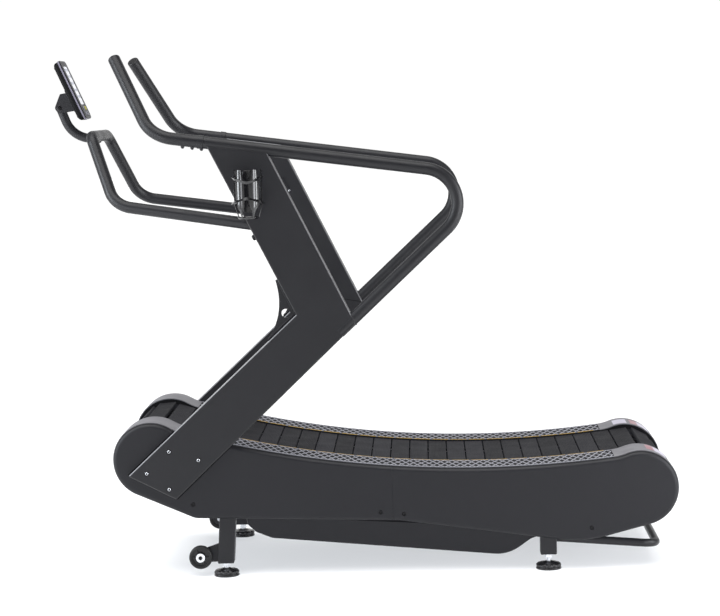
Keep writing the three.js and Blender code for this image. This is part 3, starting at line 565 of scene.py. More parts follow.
def rear_arch(depth, stop, steps=40):
    top = bearing(REAR_AXLE, REAR_BLEND)
    line = arc(REAR_BLEND, ARCH_BLEND + depth, bearing(RUN_CENTRE, REAR_BLEND), top - math.pi, 10)
    return line + arc(REAR_AXLE, ARCH_RADIUS - depth, top, stop, steps)[1:]


def touch(axle, radius, x, z, rear):
    """The angle at which a line from (x, z) touches a circle round an axle."""
    p = Vector((x, z))
    swing = math.acos(radius / (p - axle).length)
    return bearing(axle, p) + (swing if rear else -swing)


def rounded(corners, steps=10):
    """A closed outline with an arc at each corner that carries a radius."""
    points = []
    for i, corner in enumerate(corners):
        if len(corner) < 3:
            points.append(corner)
            continue
        before, after = corners[i - 1], corners[(i + 1) % len(corners)]
        points += [(p.x, p.y)
                   for p in bend(Vector((before[0], before[1], 0)), Vector((corner[0], corner[1], 0)),
                                            Vector((after[0], after[1], 0)), corner[2], steps)]
    return points


def cover_line(depth):
    """The side cover's outline, inset by a depth."""
    radius = ARCH_RADIUS - depth
    low, rear_low = (-0.520, 0.186 + depth), (0.668, 0.085 + depth)
    bottom = rounded([(-0.700, 0.270), (*low, 0.050), (SEAM + 0.020, 0.165 + depth, 0.060),
                      (*rear_low, 0.380),
                      (0.880, 0.141)])[1:-1]
    return (front_arch(depth, touch(FRONT_AXLE, radius, *low, False) + TURN)[:-1] + deck_run(depth)[:-1]
            + rear_arch(depth, touch(REAR_AXLE, radius, *rear_low, True)) + bottom[::-1])


def inset(points, amount):
    """A polygon moved inwards, or outwards below zero."""
    area = sum(x * points[(i + 1) % len(points)][1] - points[(i + 1) % len(points)][0] * z for i,
               (x, z) in enumerate(points))
    sense = 1 if area > 0 else -1
    edges = []
    for i, (x, z) in enumerate(points):
        nx, nz = points[(i + 1) % len(points)]
        length = math.hypot(nx - x, nz - z)
        edges.append((x - (nz - z) / length * sense * amount, z + (nx - x) / length * sense * amount,
                      nx - x, nz - z))
    moved = []
    for i, (x, z, dx, dz) in enumerate(edges):
        bx, bz, bdx, bdz = edges[i - 1]
        t = ((x - bx) * dz - (z - bz) * dx) / (bdx * dz - bdz * dx)
        moved.append((bx + bdx * t, bz + bdz * t))
    return moved


def Y(side, distance):
    """A distance out from the mid-plane, as a place across the machine."""
    return MID + side * distance


def prism(bm, outline, y0, y1):
    """A side-view outline carried across the machine, as a closed body in a bmesh."""
    low = [bm.verts.new((x, y0, z)) for x, z in outline]
    high = [bm.verts.new((x, y1, z)) for x, z in outline]
    count = len(outline)
    bm.faces.new(low)
    bm.faces.new(high[::-1])
    for i in range(count):
        j = (i + 1) % count
        bm.faces.new((low[j], low[i], high[i], high[j]))


def subtract(obj, tool):
    """Cuts one object out of another and removes the tool."""
    step = obj.modifiers.new("cut", "BOOLEAN")
    step.operation = "DIFFERENCE"
    step.solver = "EXACT"
    step.object = tool
    bpy.context.view_layer.update()
    done = bpy.data.meshes.new_from_object(obj.evaluated_get(bpy.context.evaluated_depsgraph_get()))
    obj.modifiers.remove(step)
    obj.data = done
    bpy.data.objects.remove(tool)


def cut_away(obj, outline, y0, y1):
    """Subtracts a side-view outline carried across the machine."""
    bm = bmesh.new()
    prism(bm, outline, *sorted((y0, y1)))
    subtract(obj, from_bmesh("cutter", bm))


def block(name, outline, y0, y1, bevel, segments=3):
    """A side-view outline carried across the machine with its edges rounded."""
    bm = bmesh.new()
    prism(bm, outline, *sorted((y0, y1)))
    round_edges(bm, bevel, segments)
    return from_bmesh(name, bm)


# ------------------------------------------------------------------------------------------------
# Camera, light and floor
# ------------------------------------------------------------------------------------------------
def studio():
    camera_data = bpy.data.cameras.new("camera")
    camera_data.lens = 113.65
    camera_data.sensor_width = 36.0
    camera = put_in_scene("camera", camera_data)
    right = Vector((0.99924, 0.027325, -0.027634))
    up = Vector((0.025042, 0.091033, 0.995527))
    back = Vector((0.02972, -0.99547, 0.09028))
    camera.matrix_world = Matrix.Translation((0.209, -7.194, 1.447)) @ Matrix((right, up,
                                                                               back)).transposed().to_4x4()
    bpy.context.scene.camera = camera

    def lamp(name, place, target, size, energy, colour, size_y):
        data = bpy.data.lights.new(name, "AREA")
        data.shape = "RECTANGLE"
        data.size = size
        data.size_y = size_y
        data.energy = energy
        data.color = colour
        data.use_shadow = False
        obj = put_in_scene(name, data)
        obj.location = place
        obj.rotation_euler = (Vector(target) - Vector(place)).to_track_quat("-Z", "Y").to_euler()

    ceiling = bpy.data.lights.new("ceiling", "SUN")
    ceiling.energy = 3.3
    ceiling.angle = math.radians(62)
    sky = put_in_scene("ceiling", ceiling)
    sky.rotation_euler = (math.radians(12), math.radians(-8), 0)
    lamp("left_strip", (-3.4, -1.0, 1.8), (-0.4, 0.0, 0.9), 0.9, 110, (0.90, 0.95, 1.0), 2.6)
    lamp("right_strip", (3.8, -1.1, 1.6), (0.5, 0.0, 0.6), 0.9, 120, (0.95, 0.97, 1.0), 2.6)
    lamp("rear_fill", (2.0, -2.0, 0.9), (0.98, -0.2, 0.25), 0.6, 26, (0.95, 0.96, 1.0), 1.2)
    lamp("front_fill", (-1.9, -2.2, 1.0), (-0.75, -0.2, 0.35), 0.6, 13, (0.95, 0.96, 1.0), 1.2)
    lamp("front_left_strip", (-2.9, -3.0, 1.6), (-0.5, -0.2, 1.0), 0.35, 9, (0.84, 0.91, 1.0), 2.2)
    lamp("front_right_strip", (3.0, -3.4, 1.7), (0.0, -0.2, 1.0), 0.35, 9, (0.90, 0.94, 1.0), 2.2)

    world = bpy.data.worlds.new("soft_white")
    world.use_nodes = True
    nodes, links = world.node_tree.nodes, world.node_tree.links
    background = nodes["Background"]
    background.inputs["Color"].default_value = (1, 1, 1, 1)
    sky_coords = nodes.new("ShaderNodeTexCoord")
    split = nodes.new("ShaderNodeSeparateXYZ")
    links.new(sky_coords.outputs["Generated"], split.inputs[0])

    def eased(output, low, high, out_low, out_high):
        made = nodes.new("ShaderNodeMapRange")
        for key, value in (("From Min", low), ("From Max", high), ("To Min", out_low), ("To Max", out_high)):
            made.inputs[key].default_value = value
        made.interpolation_type = "SMOOTHSTEP"
        links.new(output, made.inputs["Value"])
        return made.outputs["Result"]

    total = nodes.new("ShaderNodeMath")
    links.new(eased(split.outputs["Z"], 0.05, 0.35, 0.26, 0.08), total.inputs[0])
    links.new(eased(split.outputs["Y"], 0.40, 0.85, 0.0, 0.9), total.inputs[1])
    path = nodes.new("ShaderNodeLightPath")
    seen = nodes.new("ShaderNodeMix")
    seen.inputs["B"].default_value = 1.02
    links.new(path.outputs["Is Camera Ray"], seen.inputs["Factor"])
    links.new(total.outputs[0], seen.inputs["A"])
    links.new(seen.outputs["Result"], background.inputs["Strength"])
    bpy.context.scene.world = world
    bpy.context.scene.view_settings.view_transform = "Standard"

    g = Graph("studio_floor")
    speck = g.ramp(g.noise(0.9, 4.0, 0.5), 0.3, 0.7, 0.0, 1.0)
    g.link(g.mix(speck, (0.90, 0.90, 0.90, 1), (0.93, 0.93, 0.93, 1)), g.shader.inputs["Base Color"])
    g.link(g.ramp(g.noise(3.0), 0.3, 0.7, 0.75, 0.85), g.shader.inputs["Roughness"])
    g.shader.inputs["Specular IOR Level"].default_value = 0.0
    g.shader.inputs["Emission Color"].default_value = (1, 1, 1, 1)
    g.shader.inputs["Emission Strength"].default_value = 0.03
    half = 40
    floor = from_lists("floor", [(-half, -half, 0), (half, -half, 0), (half, half, 0), (-half, half, 0)],
                       [(0, 1, 2, 3)])
    floor.data.materials.append(g.material)


# ------------------------------------------------------------------------------------------------
# Belt
# ------------------------------------------------------------------------------------------------
SLAT_HALF_LENGTH, SLAT_CHAMFER = 0.213, 0.0012
BAND_IN, BAND_OUT, BAND_TOP, BAND_LOW, TOOTH = 0.150, 0.185, 0.0163, 0.0225, 0.0015


def slat_section():
    """(along the run, outwards) outline of a slat: ribbed top, rounded shoulders, narrow foot."""
    half, groove, depth, soft = 0.0279, 0.0019, 0.0009, 0.0028
    top = []
    shoulder = [(half - soft + soft * math.sin(a), -soft + soft * math.cos(a)) for a in
                (math.pi / 2 * i / 4 for i in range(5))]
    pitch = 0.0046
    count = 11
    for i in range(count):
        centre = (i - (count - 1) / 2) * pitch
        top += [(centre - groove / 2, 0.0), (centre - groove / 4, -depth), (centre + groove / 4, -depth),
                (centre + groove / 2, 0.0)]
    right = shoulder + [(half, -0.0075), (half - 0.003, -0.0105), (half - 0.005, -0.0155)]
    left = [(-u, v) for u, v in right[::-1]]
    return left + top + right


def belt():
    rng = random.Random(7)
    section = slat_section()
    count = len(section)
    slats = Parts()
    tones = []
    for i in range(SLAT_COUNT):
        p, out = loop_place((i + 0.5) * PITCH_LENGTH / SLAT_COUNT, 0)
        along = Vector((-out.y, out.x))
        verts = []
        for across, shrink in ((-SLAT_HALF_LENGTH, SLAT_CHAMFER), (-SLAT_HALF_LENGTH + SLAT_CHAMFER, 0),
                               (SLAT_HALF_LENGTH - SLAT_CHAMFER, 0), (SLAT_HALF_LENGTH, SLAT_CHAMFER)):
            for u, v in section:
                q = p + along * (u * (1 - shrink / 0.03)) + out * (v - (shrink if v > -0.004 else 0))
                verts.append((q.x, MID + across, q.y))
        faces = caps(4, count) + ring_faces(4, count)
        slats.add(verts, faces)
        tones += [rng.random()] * len(faces)
    obj = slats.make("slats", SLAT, "slat_rubber", replaces=["slat_belt"], angle=30)
    tone = obj.data.attributes.new("tone", "FLOAT", "FACE")
    tone.data.foreach_set("value", tones)
    for label, side in SIDES:
        band = Parts()
        steps = 420
        profile = [(BAND_IN, BAND_TOP), (BAND_OUT, BAND_TOP), (BAND_OUT, BAND_LOW), (BAND_IN, BAND_LOW)]
        verts = []
        for i in range(steps):
            for across, depth in profile:
                lower = depth + (TOOTH if depth == BAND_LOW and i % 4 < 2 else 0)
                p, _ = loop_place(i * PITCH_LENGTH / steps, lower)
                verts.append((p.x, Y(side, across), p.y))
        band.add(verts, ring_faces(steps, 4, looped=True)).make(f"drive_belt_{label}", BELT, "slat_rubber")


# ------------------------------------------------------------------------------------------------
# Covers, foot rails and arches
# ------------------------------------------------------------------------------------------------
SCREW_HOLE = 0.0072
LEG_OPENING = 0.0036                              # how far the cover's opening lies outside the leg
SHADE_PLATE_LAP = 0.007                                # how far the near-black shade plate reaches outside the leg
COVER_SCREWS = ((-0.524, 0.233), (0.050, 0.196), (0.121, 0.189), (0.693, 0.133))


def side_covers(label, side):
    """Both side covers of one side: a shell with a soft edge, a seam and sunk screws."""
    radius, steps, wall = 0.013, 6, 0.004
    start = 0.002
    for name, front in (("front_cover", True), ("rear_cover", False)):
        bm = bmesh.new()
        rings = []
        levels = [(start, COVER_IN)]
        for i in range(steps + 1):
            a = math.pi / 2 * i / steps
            levels.append((start + radius * (1 - math.cos(a)), COVER_OUT - radius + radius * math.sin(a)))
        for depth, across in levels:
            rings.append([bm.verts.new((x, Y(side, across), z)) for x, z in cover_line(depth)])
        count = len(rings[0])
        for a, b in zip(rings, rings[1:]):
            for i in range(count):
                j = (i + 1) % count
                bm.faces.new((a[i], a[j], b[j], b[i]))
        bm.faces.new(rings[-1])
        inner = [[bm.verts.new((x, Y(side, across), z)) for x, z in cover_line(start + wall)]
                 for across in (COVER_IN, COVER_OUT - wall)]
        for i in range(count):
            j = (i + 1) % count
            bm.faces.new((inner[0][j], inner[0][i], inner[1][i], inner[1][j]))
            bm.faces.new((rings[0][j], rings[0][i], inner[0][i], inner[0][j]))
        bm.faces.new(inner[1][::-1])
        bmesh.ops.recalc_face_normals(bm, faces=bm.faces)
        plane = SEAM + (-0.0004 if front else 0.0004)
        cut = bmesh.ops.bisect_plane(bm, geom=bm.verts[:] + bm.edges[:] + bm.faces[:], plane_co=(plane, 0, 0),
                                     plane_no=(1, 0, 0), clear_outer=front, clear_inner=not front)
        edges = [e for e in cut["geom_cut"] if isinstance(e, bmesh.types.BMEdge)]
        bmesh.ops.holes_fill(bm, edges=edges, sides=0)
        obj = from_bmesh(f"{name}_{label}_shell", bm)
        for x, z in COVER_SCREWS:
            if (x < SEAM) == front:
                cut_away(obj, disc(x, z, SCREW_HOLE, 24), Y(side, COVER_OUT - 0.0032),
                         Y(side, COVER_OUT + 0.01))
        if front:
            cut_away(obj, inset(UPRIGHT_LINE, -LEG_OPENING), Y(side, 0.340), Y(side, 0.395))
        settle(obj, COVER, "frame", "cover_plastic", [f"{name}_{label}"], angle=30)
        # The cover's rim faces get a darker, duller copy of the cover plastic: the darker colour is painted
        # shade.
        extra_material(obj, COVER_RIM_SHADE, lambda normal: abs(normal.y) < 0.5)
    screws = Parts()
    for x, z in COVER_SCREWS:
        seat = at((x, Y(side, COVER_OUT - 0.0036), z), (0, side, 0), 0.3 + x)
        screws.turned(seat, [(0, 0), (0.0058, 0), (0.0058, 0.0010), (0.0046, 0.0022), (0.0026, 0.0022),
                             (0.0026, 0.0006), (0, 0.0006)], 0.0004, 24)
    screws.make(f"cover_screws_{label}", DARK_BOLT, "black_plastic")


def strip_mesh(line, y0, y1, low):
    """A thin curved sheet between two depths: line(depth) gives its side view."""
    top, bottom = line(0.0), line(low)
    edge = 0.0006
    verts = []
    y_low, y_high = sorted((y0, y1))
    rows = [(top, y_low + edge), (top, y_high - edge), (None, y_high), (bottom, y_high), (bottom, y_low),
            (None, y_low)]
    middle = line(edge)
    for i in range(len(top)):
        for points, y in rows:
            x, z = (points or middle)[i]
            verts.append((x, y, z))
    size = len(top), len(rows)
    return verts, ring_faces(*size) + [face[::-1] for face in caps(*size)]


def run_point(s, lift):
    """A point of the foot rail's top at an arc length s from its lowest point."""
    angle = -math.pi / 2 + s / DECK_RADIUS
    r = DECK_RADIUS - lift
    return Vector((RUN_CENTRE.x + r * math.cos(angle), RUN_CENTRE.y + r * math.sin(angle)))


def foot_rails(label, side):
    base = Parts()
    base.add(*strip_mesh(lambda d: deck_run(d + 0.0008), Y(side, RAIL_IN), Y(side, RAIL_OUT), 0.0024))
    base.add(*strip_mesh(lambda d: deck_run(d + 0.0008), Y(side, RAIL_IN), Y(side, RAIL_IN + 0.004), 0.0124))
    base.make(f"foot_rail_{label}_base", TREAD_WELL, "trim_plastic", replaces=[f"foot_rail_{label}"],
              angle=30)
    start = (bearing(RUN_CENTRE, FRONT_BLEND) + math.pi / 2) * DECK_RADIUS
    stop = (bearing(RUN_CENTRE, REAR_BLEND) + math.pi / 2) * DECK_RADIUS
    inner, outer = RAIL_IN + 0.0065, RAIL_OUT - 0.006
    period, depth = 0.024, outer - inner
    slope = period / 0.066
    half = 0.0016
    lattice = Parts()

    def bar(points):
        """A low flat-topped bar along (s, across) points, with sloping sides."""
        verts = []
        for i, (s, t) in enumerate(points):
            a, b = points[max(i - 1, 0)], points[min(i + 1, len(points) - 1)]
            d = Vector((b[0] - a[0], b[1] - a[1])).normalized()
            for w, lift in ((half * 1.5, -0.0009), (half, 0.0), (-half, 0.0), (-half * 1.5, -0.0009)):
                p = run_point(min(max(s - d.y * w, start + 0.0005), stop - 0.0005), lift)
                verts.append((p.x, Y(side, inner + min(max(t + d.x * w, 0), depth)), p.y))
        lattice.add(verts, ring_faces(len(points), 4) + caps(len(points), 4))

    run = depth * slope
    first = math.floor((start - run) / period)
    last = math.ceil((stop + run) / period)
    for i in range(first, last + 1):
        for sign in (1, -1):
            s0 = i * period + (0 if sign > 0 else run)
            pieces = [(s0 + sign * slope * depth * k / 4, depth * k / 4) for k in range(5)]
            inside = [(s, t) for s, t in pieces if start + 0.002 < s < stop - 0.002]
            if len(inside) > 1:
                bar(inside)
    lattice.make(f"foot_rail_{label}_lattice", LATTICE, "trim_plastic", angle=25, weighted=False)
    borders = Parts()
    for t0, t1 in ((RAIL_IN + 0.0028, RAIL_IN + 0.0066), (RAIL_OUT - 0.0066, RAIL_OUT)):
        borders.add(*strip_mesh(lambda d: deck_run(d - 0.0002), Y(side, t0), Y(side, t1), 0.0018))
    borders.make(f"foot_rail_{label}_border", LATTICE, "trim_plastic", angle=30)
    dashes = Parts()
    pitch, length = 0.060, 0.052
    s = start + 0.004
    while s + length < stop:
        line = [run_point(s + length * k / 4, 0.0005) for k in range(5)]
        below = [run_point(s + length * k / 4, -0.0005) for k in range(5)]
        verts = []
        y0, y1 = Y(side, RAIL_IN - 0.0001), Y(side, RAIL_IN + 0.0030)
        for a, b in zip(line, below):
            verts += [(a.x, y0, a.y), (a.x, y1, a.y), (b.x, y1, b.y), (b.x, y0, b.y)]
        dashes.add(verts, ring_faces(5, 4) + caps(5, 4))
        s += pitch
    dashes.make(f"edge_line_{label}", YELLOW, "trim_plastic", angle=30)


def arches(label, side):
    ends = {"front": math.radians(205), "rear": math.radians(-25)}
    for end, stop in ends.items():
        line = (lambda d: front_arch(d, stop)) if end == "front" else (lambda d: rear_arch(d, stop))
        shift = Vector((-0.0003 if end == "front" else 0.0003, 0, 0))
        cover = Parts()
        for t0, t1, low in ((RAIL_IN, RAIL_OUT, 0.004), (RAIL_IN, RAIL_IN + 0.003, 0.0138)):
            verts, faces = strip_mesh(line, Y(side, t0), Y(side, t1), low)
            cover.add([Vector(v) + shift for v in verts], faces)
        cover.make(f"{end}_arch_{label}_shell", ARCH, "trim_plastic",
                   replaces=[f"{end}_arch_cover_{label}"], angle=30)
        # A near-black sheet on the arch's belt side: painted shade in the gap beside the belt's ends.
        wall = Parts()
        verts, faces = strip_mesh(lambda d: line(d + 0.0026), Y(side, RAIL_IN - 0.0012),
                                  Y(side, RAIL_IN - 0.0001), 0.0145)
        wall.add(verts, faces).make(f"{end}_arch_{label}_gap_shade_sheet", SEAL_AND_SHADE, "black_plastic", angle=30)


def blank_labels(label, side):
    """Blank patches on the rear arches, in place of stickers."""
    centre = REAR_AXLE + Vector((0.0003, 0))
    inner, outer = Y(side, 0.232), Y(side, 0.318)
    patches = [("red", LABEL_RED, 79, 67), ("pale", LABEL_PALE, 66.6, 46)]
    if label == "right":
        patches.append(("wide", LABEL_PALE, 107, 85))
    for name, material, a0, a1 in patches:
        verts = []
        ends = math.radians(a0), math.radians(a1)
        for (x, z), (u, w) in zip(arc(centre, ARCH_RADIUS + 0.0003, *ends, 8),
                                  arc(centre, ARCH_RADIUS - 0.0004, *ends, 8)):
            verts += [(x, inner, z), (x, outer, z), (u, outer, w), (u, inner, w)]
        faces = ring_faces(9, 4) + caps(9, 4)
        Parts().add(verts, faces).make(f"blank_label_{name}_{label}", material, "trim_plastic", angle=30)


def belly():
    """The pan under the belt: a tray with rounded side edges that sweeps up at the rear."""
    line = rounded([(-0.372, 0.188), (-0.366, 0.150, 0.012), (-0.340, 0.126, 0.020), (-0.290, 0.106, 0.060),
                    (0.440, 0.0372, 0.120), (0.510, 0.086, 0.050), (0.528, 0.0925), (0.530, 0.128)], 12)
    half, r, wall = 0.292, 0.008, 0.0022
    turns = [math.pi / 2 * i / 4 for i in range(5)]
    side_levels = [(r * (1 - math.cos(a)), half - r + r * math.sin(a)) for a in turns]
    bm = bmesh.new()
    made = [[bm.verts.new((x, MID + across, z)) for x, z in inset(line, depth)]
            for depth, across in [(d, -y) for d, y in side_levels[::-1]] + side_levels]
    for a, b in zip(made, made[1:]):
        for i in range(len(line) - 1):
            bm.faces.new((a[i], a[i + 1], b[i + 1], b[i]))
    bm.faces.new(made[0])
    bm.faces.new(made[-1][::-1])
    obj = from_bmesh("belly_pan_tray", bm)
    thick = obj.modifiers.new("wall", "SOLIDIFY")
    thick.thickness = wall
    thick.offset = -1
    settle(obj, COVER, "frame", "cover_plastic", ["belly_pan"], angle=30)


# ------------------------------------------------------------------------------------------------
# Fasteners and welds
# ------------------------------------------------------------------------------------------------
def socket_bolt(place, radius, heads, sockets, washers=None):
    """A button head with a dark hexagon socket, on a washer if there is one."""
    hole = radius * 0.56
    lift = Matrix.Translation((0, 0, 0.0006 if washers else 0))
    heads.turned(place @ lift,
                 [(hole, 0), (radius, 0), (radius, radius * 0.28), (radius * 0.78, radius * 0.52),
                                             (hole, radius * 0.60)], 0.0003, 32)
    sockets.place(place @ lift, *hex_prism(radius * 1.2, 0, radius * 0.22, 0.0001))
    if washers:
        washers.turned(place, [(hole, 0), (radius * 1.6, 0), (radius * 1.6, 0.0008), (hole, 0.0008)],
                       0.0003, 32)


def bead(start, end, radius):
    """A weld bead with its ripples."""
    a, b = Vector(start), Vector(end)
    count = max(4, round((b - a).length / 0.0018))
    verts, faces = sweep([a.lerp(b, i / count) for i in range(count + 1)], circle(radius, 10))
    for i in range(count + 1):
        centre = a.lerp(b, i / count)
        size = 0.5 if i in (0, count) else (1.0 if i % 2 else 0.86)
        for k in range(10):
            verts[i * 10 + k] = centre + (Vector(verts[i * 10 + k]) - centre) * size
    return verts, faces


def ring_bead(points, radius):
    """A weld bead along a closed line."""
    rings = len(points)
    verts = []
    for i, p in enumerate(points):
        now = (points[(i + 1) % rings] - points[i - 1]).normalized()
        side = now.cross(Vector((0.31, 0.87, 0.38))).normalized()
        over = side.cross(now)
        size = radius * (1.0 if i % 2 else 0.86)
        verts += [p + side * u + over * v for u, v in circle(size, 10)]
    return verts, ring_faces(rings, 10, looped=True)


# ------------------------------------------------------------------------------------------------
# Uprights and rails
# ------------------------------------------------------------------------------------------------
TOP_RAIL = ((-0.611, 1.361), (0.437, 1.210))
DIAGONAL_START = (-0.060, 0.754)
GRIP_TIP = (-0.735, 0.230, 1.597)
COLLAR_X = -0.453
CAP_NUTS_X = (-0.517, -0.488, -0.460)
CROSSBAR = (-0.823, 0.180, 1.362)                 # x, half width, z
HANDLEBAR_RADIUS, STEM_RADIUS, STEM_Z = 0.018, 0.0145, 1.355
PIVOT = (-0.944, MID, 1.453)
LIFT_Y, LIFT_Z, LIFT_RADIUS = 0.303, 0.092, 0.0125
LEG_BOLTS = ((-0.589, 0.402), (-0.500, 0.374), (-0.659, 0.336), (-0.592, 0.286))
GUSSET_TOP, GUSSET_MIDDLE, GUSSET_BOTTOM = (-0.250, 0.916), (-0.243, 0.820), (-0.279, 0.735)


def rail_z(x):
    (x0, z0), (x1, z1) = TOP_RAIL
    return z0 + (z1 - z0) * (x - x0) / (x1 - x0)


def tube(corners, radius, sides=48):
    return sweep(centreline(corners), circle(radius, sides))


def disc(x, z, radius, sides=32):
    return [(x + radius * math.cos(TURN * k / sides), z + radius * math.sin(TURN * k / sides))
            for k in range(sides)]


def uprights(label, side):
    inner, outer = Y(side, UPRIGHT_IN), Y(side, UPRIGHT_OUT)
    line = [(-0.4493, 1.3377), *UPRIGHT_LINE[1:5], (-0.267, 1.3115)]
    leg = block(f"upright_{label}_box", line, inner, outer, 0.0040, 3)
    axis = [Vector((x, Y(side, HANDRAIL_Y), rail_z(x))) for x in (-0.56, -0.16)]
    subtract(leg, from_lists("cutter", *sweep(axis, circle(HANDRAIL_RADIUS + 0.0002, 48))))
    slot = [(-0.262, 1.201), (-0.244, 1.170)]
    a, b = Vector(slot[0]), Vector(slot[1])
    heading = math.atan2(b.y - a.y, b.x - a.x)
    capsule = arc(b, 0.0045, heading - math.pi / 2, heading + math.pi / 2, 8) + arc(a, 0.0045,
                                                                                    heading + math.pi / 2,
                                                                                    heading + math.pi * 1.5,
                                                                                    8)
    cut_away(leg, capsule, inner - side * 0.01, inner + side * 0.005)
    settle(leg, PAINT, "frame", "frame_paint", [f"upright_{label}"], angle=30)
    # The leg's bevel faces get a painted highlight: their colour lightens where they face up.
    extra_material(leg, PAINT_EDGE_HIGHLIGHT, lambda normal: 0.2 < abs(normal.y) < 0.98)
    extra_material(leg, PAINT_SHEEN, lambda normal: normal.z > 0.6 and abs(normal.y) <= 0.2)

    top, middle, bottom = (Vector(p) for p in (GUSSET_TOP, GUSSET_MIDDLE, GUSSET_BOTTOM))
    pull = middle * 2 - (top + bottom) / 2
    curve = [top * (1 - s) ** 2 + pull * (2 * s * (1 - s)) + bottom * s * s
             for s in (i / 24 for i in range(25))]
    plate = block(f"gusset_{label}",
                  [(p.x, p.y) for p in curve] + [(-0.272, 0.728), (-0.180, 0.814), (-0.241, 0.920)],
                  Y(side, GUSSET_IN), Y(side, GUSSET_OUT), 0.0010, 2)
    cut_away(plate, disc(-0.221, 0.815, 0.0135), Y(side, 0.36), Y(side, 0.40))
    settle(plate, PAINT, "frame", "frame_paint", angle=30)

    welds = Parts()
    for across in (GUSSET_IN, GUSSET_OUT):
        y = Y(side, across)
        welds.add(*bead((-0.2455, y, 0.917), (-0.1945, y, 0.8135), 0.0028))
        welds.add(*bead((-0.1945, y, 0.8135), (-0.2765, y, 0.738), 0.0028))
    ends = [(x, Y(side, UPRIGHT_OUT), rail_z(x) - 0.0090) for x in (-0.4445, -0.2630)]
    welds.add(*bead(*ends, 0.0016))
    corner, normal = Vector((-0.009, 0, 0.779)), Vector((0.900, 0, 0.436))
    start = Vector((DIAGONAL_START[0], 0, DIAGONAL_START[1]))
    run = (Vector((TOP_RAIL[1][0], 0, TOP_RAIL[1][1])) - start).normalized()
    over = Vector((-run.z, 0, run.x))
    ring = []
    for i in range(72):
        a = TURN * i / 72
        p = start + over * (HANDRAIL_RADIUS * math.cos(a)) + Vector((0, HANDRAIL_RADIUS * math.sin(a), 0))
        p += run * max(0.0, (corner - p).dot(normal) / run.dot(normal))
        ring.append(p + Vector((0, Y(side, HANDRAIL_Y), 0)))
    welds.add(*ring_bead(ring, 0.0020))
    welds.make(f"upright_welds_{label}", PAINT, "frame_paint", angle=50, weighted=False)

    seam = Parts()
    y0 = inner - side * 0.0003
    a, b = Vector(UPRIGHT_LINE[1]) + Vector((0.004, -0.0007)), Vector(UPRIGHT_LINE[4]) + Vector((-0.004,
                                                                                                 0.0007))
    w = Vector((-(b - a).y, (b - a).x)).normalized() * 0.0009
    verts = [(q.x, y, q.y) for y in (y0, inner + side * 0.0005) for q in (a - w, b - w, b + w, a + w)]
    seam.add(verts, [(0, 1, 2, 3), (7, 6, 5, 4), (0, 4, 5, 1), (1, 5, 6, 2), (2, 6, 7, 3), (3, 7, 4, 0)])
    seam.make(f"elbow_seam_{label}", SEAL_AND_SHADE, "frame_paint", angle=30)

    heads, sockets, washers = Parts(), Parts(), Parts()
    for x, z in LEG_BOLTS:
        socket_bolt(at((x, outer, z), (0, side, 0), 0.4 + 7 * x), 0.0052, heads, sockets, washers)
    heads.turned(at((-0.243, inner, 1.159), (0, -side, 0)),
                 [(0, 0), (0.0034, 0), (0.0034, 0.006), (0, 0.007)], 0.0006, 20)
    heads.make(f"leg_bolts_{label}", CHROME, "bright_fastener", angle=30)
    # The socket floors are near-black: painted shade in the sockets.
    sockets.make(f"leg_bolt_sockets_{label}", SEAL_AND_SHADE, "black_plastic", angle=30)
    dark = Parts()
    front_face = at((-0.3066, Y(side, 0.382), 1.049), (-0.8965, 0, -0.443))
    dark.turned(front_face, [(0, 0), (0.0090, 0), (0.0090, 0.0040), (0.0076, 0.0090), (0, 0.0105)], 0.0008,
                32)
    dark.verts += washers.verts
    base = len(dark.verts) - len(washers.verts)
    dark.faces += [tuple(base + i for i in f) for f in washers.faces]
    dark.make(f"leg_dark_fasteners_{label}", DARK_BOLT, "black_plastic", angle=30)


def handrails(label, side):
    y = Y(side, HANDRAIL_Y)
    rear = (TOP_RAIL[1][0], y, TOP_RAIL[1][1])
    front = (TOP_RAIL[0][0], y, TOP_RAIL[0][1])
    joint = (COLLAR_X, y, rail_z(COLLAR_X))
    tip = (GRIP_TIP[0], Y(side, GRIP_TIP[1]), GRIP_TIP[2])
    loop = Parts().add(*tube([((DIAGONAL_START[0], y, DIAGONAL_START[1]),), (rear, 0.106), (joint,)],
                             HANDRAIL_RADIUS))
    loop.make(f"handrail_loop_{label}_tube", TUBE_PAINT, "frame_paint", replaces=[f"handrail_loop_{label}"],
              angle=40)
    grip = Parts().add(*tube([(tip,), (front, 0.110), ((COLLAR_X - 0.0005, y, rail_z(COLLAR_X - 0.0005)),)],
                             HANDRAIL_RADIUS))
    along = (Vector(joint) - Vector(front)).normalized()
    collar = fillet([(0.0186, 0), (0.0207, 0), (0.0207, 0.0178), (0.0186, 0.0178)], 0.0009)
    grip.place(at(Vector(joint) - along * 0.0184, along), *lathe(collar, 48))
    for x in CAP_NUTS_X:
        under = at((x, y, rail_z(x) - HANDRAIL_RADIUS + 0.0008), (0, 0, -1), 0.2 + x)
        grip.place(under, *hex_prism(0.0105, 0, 0.0046, 0.0005))
        grip.turned(under @ Matrix.Translation((0, 0, 0.0044)),
                    [(0, 0), (0.0044, 0), (0.0040, 0.0026), (0, 0.0042)], 0.0012, 24)
    grip.make(f"handrail_grip_{label}_tube", TUBE_PAINT, "frame_paint", replaces=[f"handrail_grip_{label}"],
              angle=40)
    out = (Vector(tip) - Vector(front)).normalized()
    cap = Parts().place(at(Vector(tip), out),
                        *lathe(fillet([(0, 0.0002), (0.0189, 0.0002), (0.0189, 0.0032), (0.0168, 0.0056),
                                       (0, 0.0062)], 0.0016, 4), 48))
    cap.make(f"grip_end_cap_{label}_plug", BLACK, "black_plastic", replaces=[f"grip_end_cap_{label}"],
             angle=40)


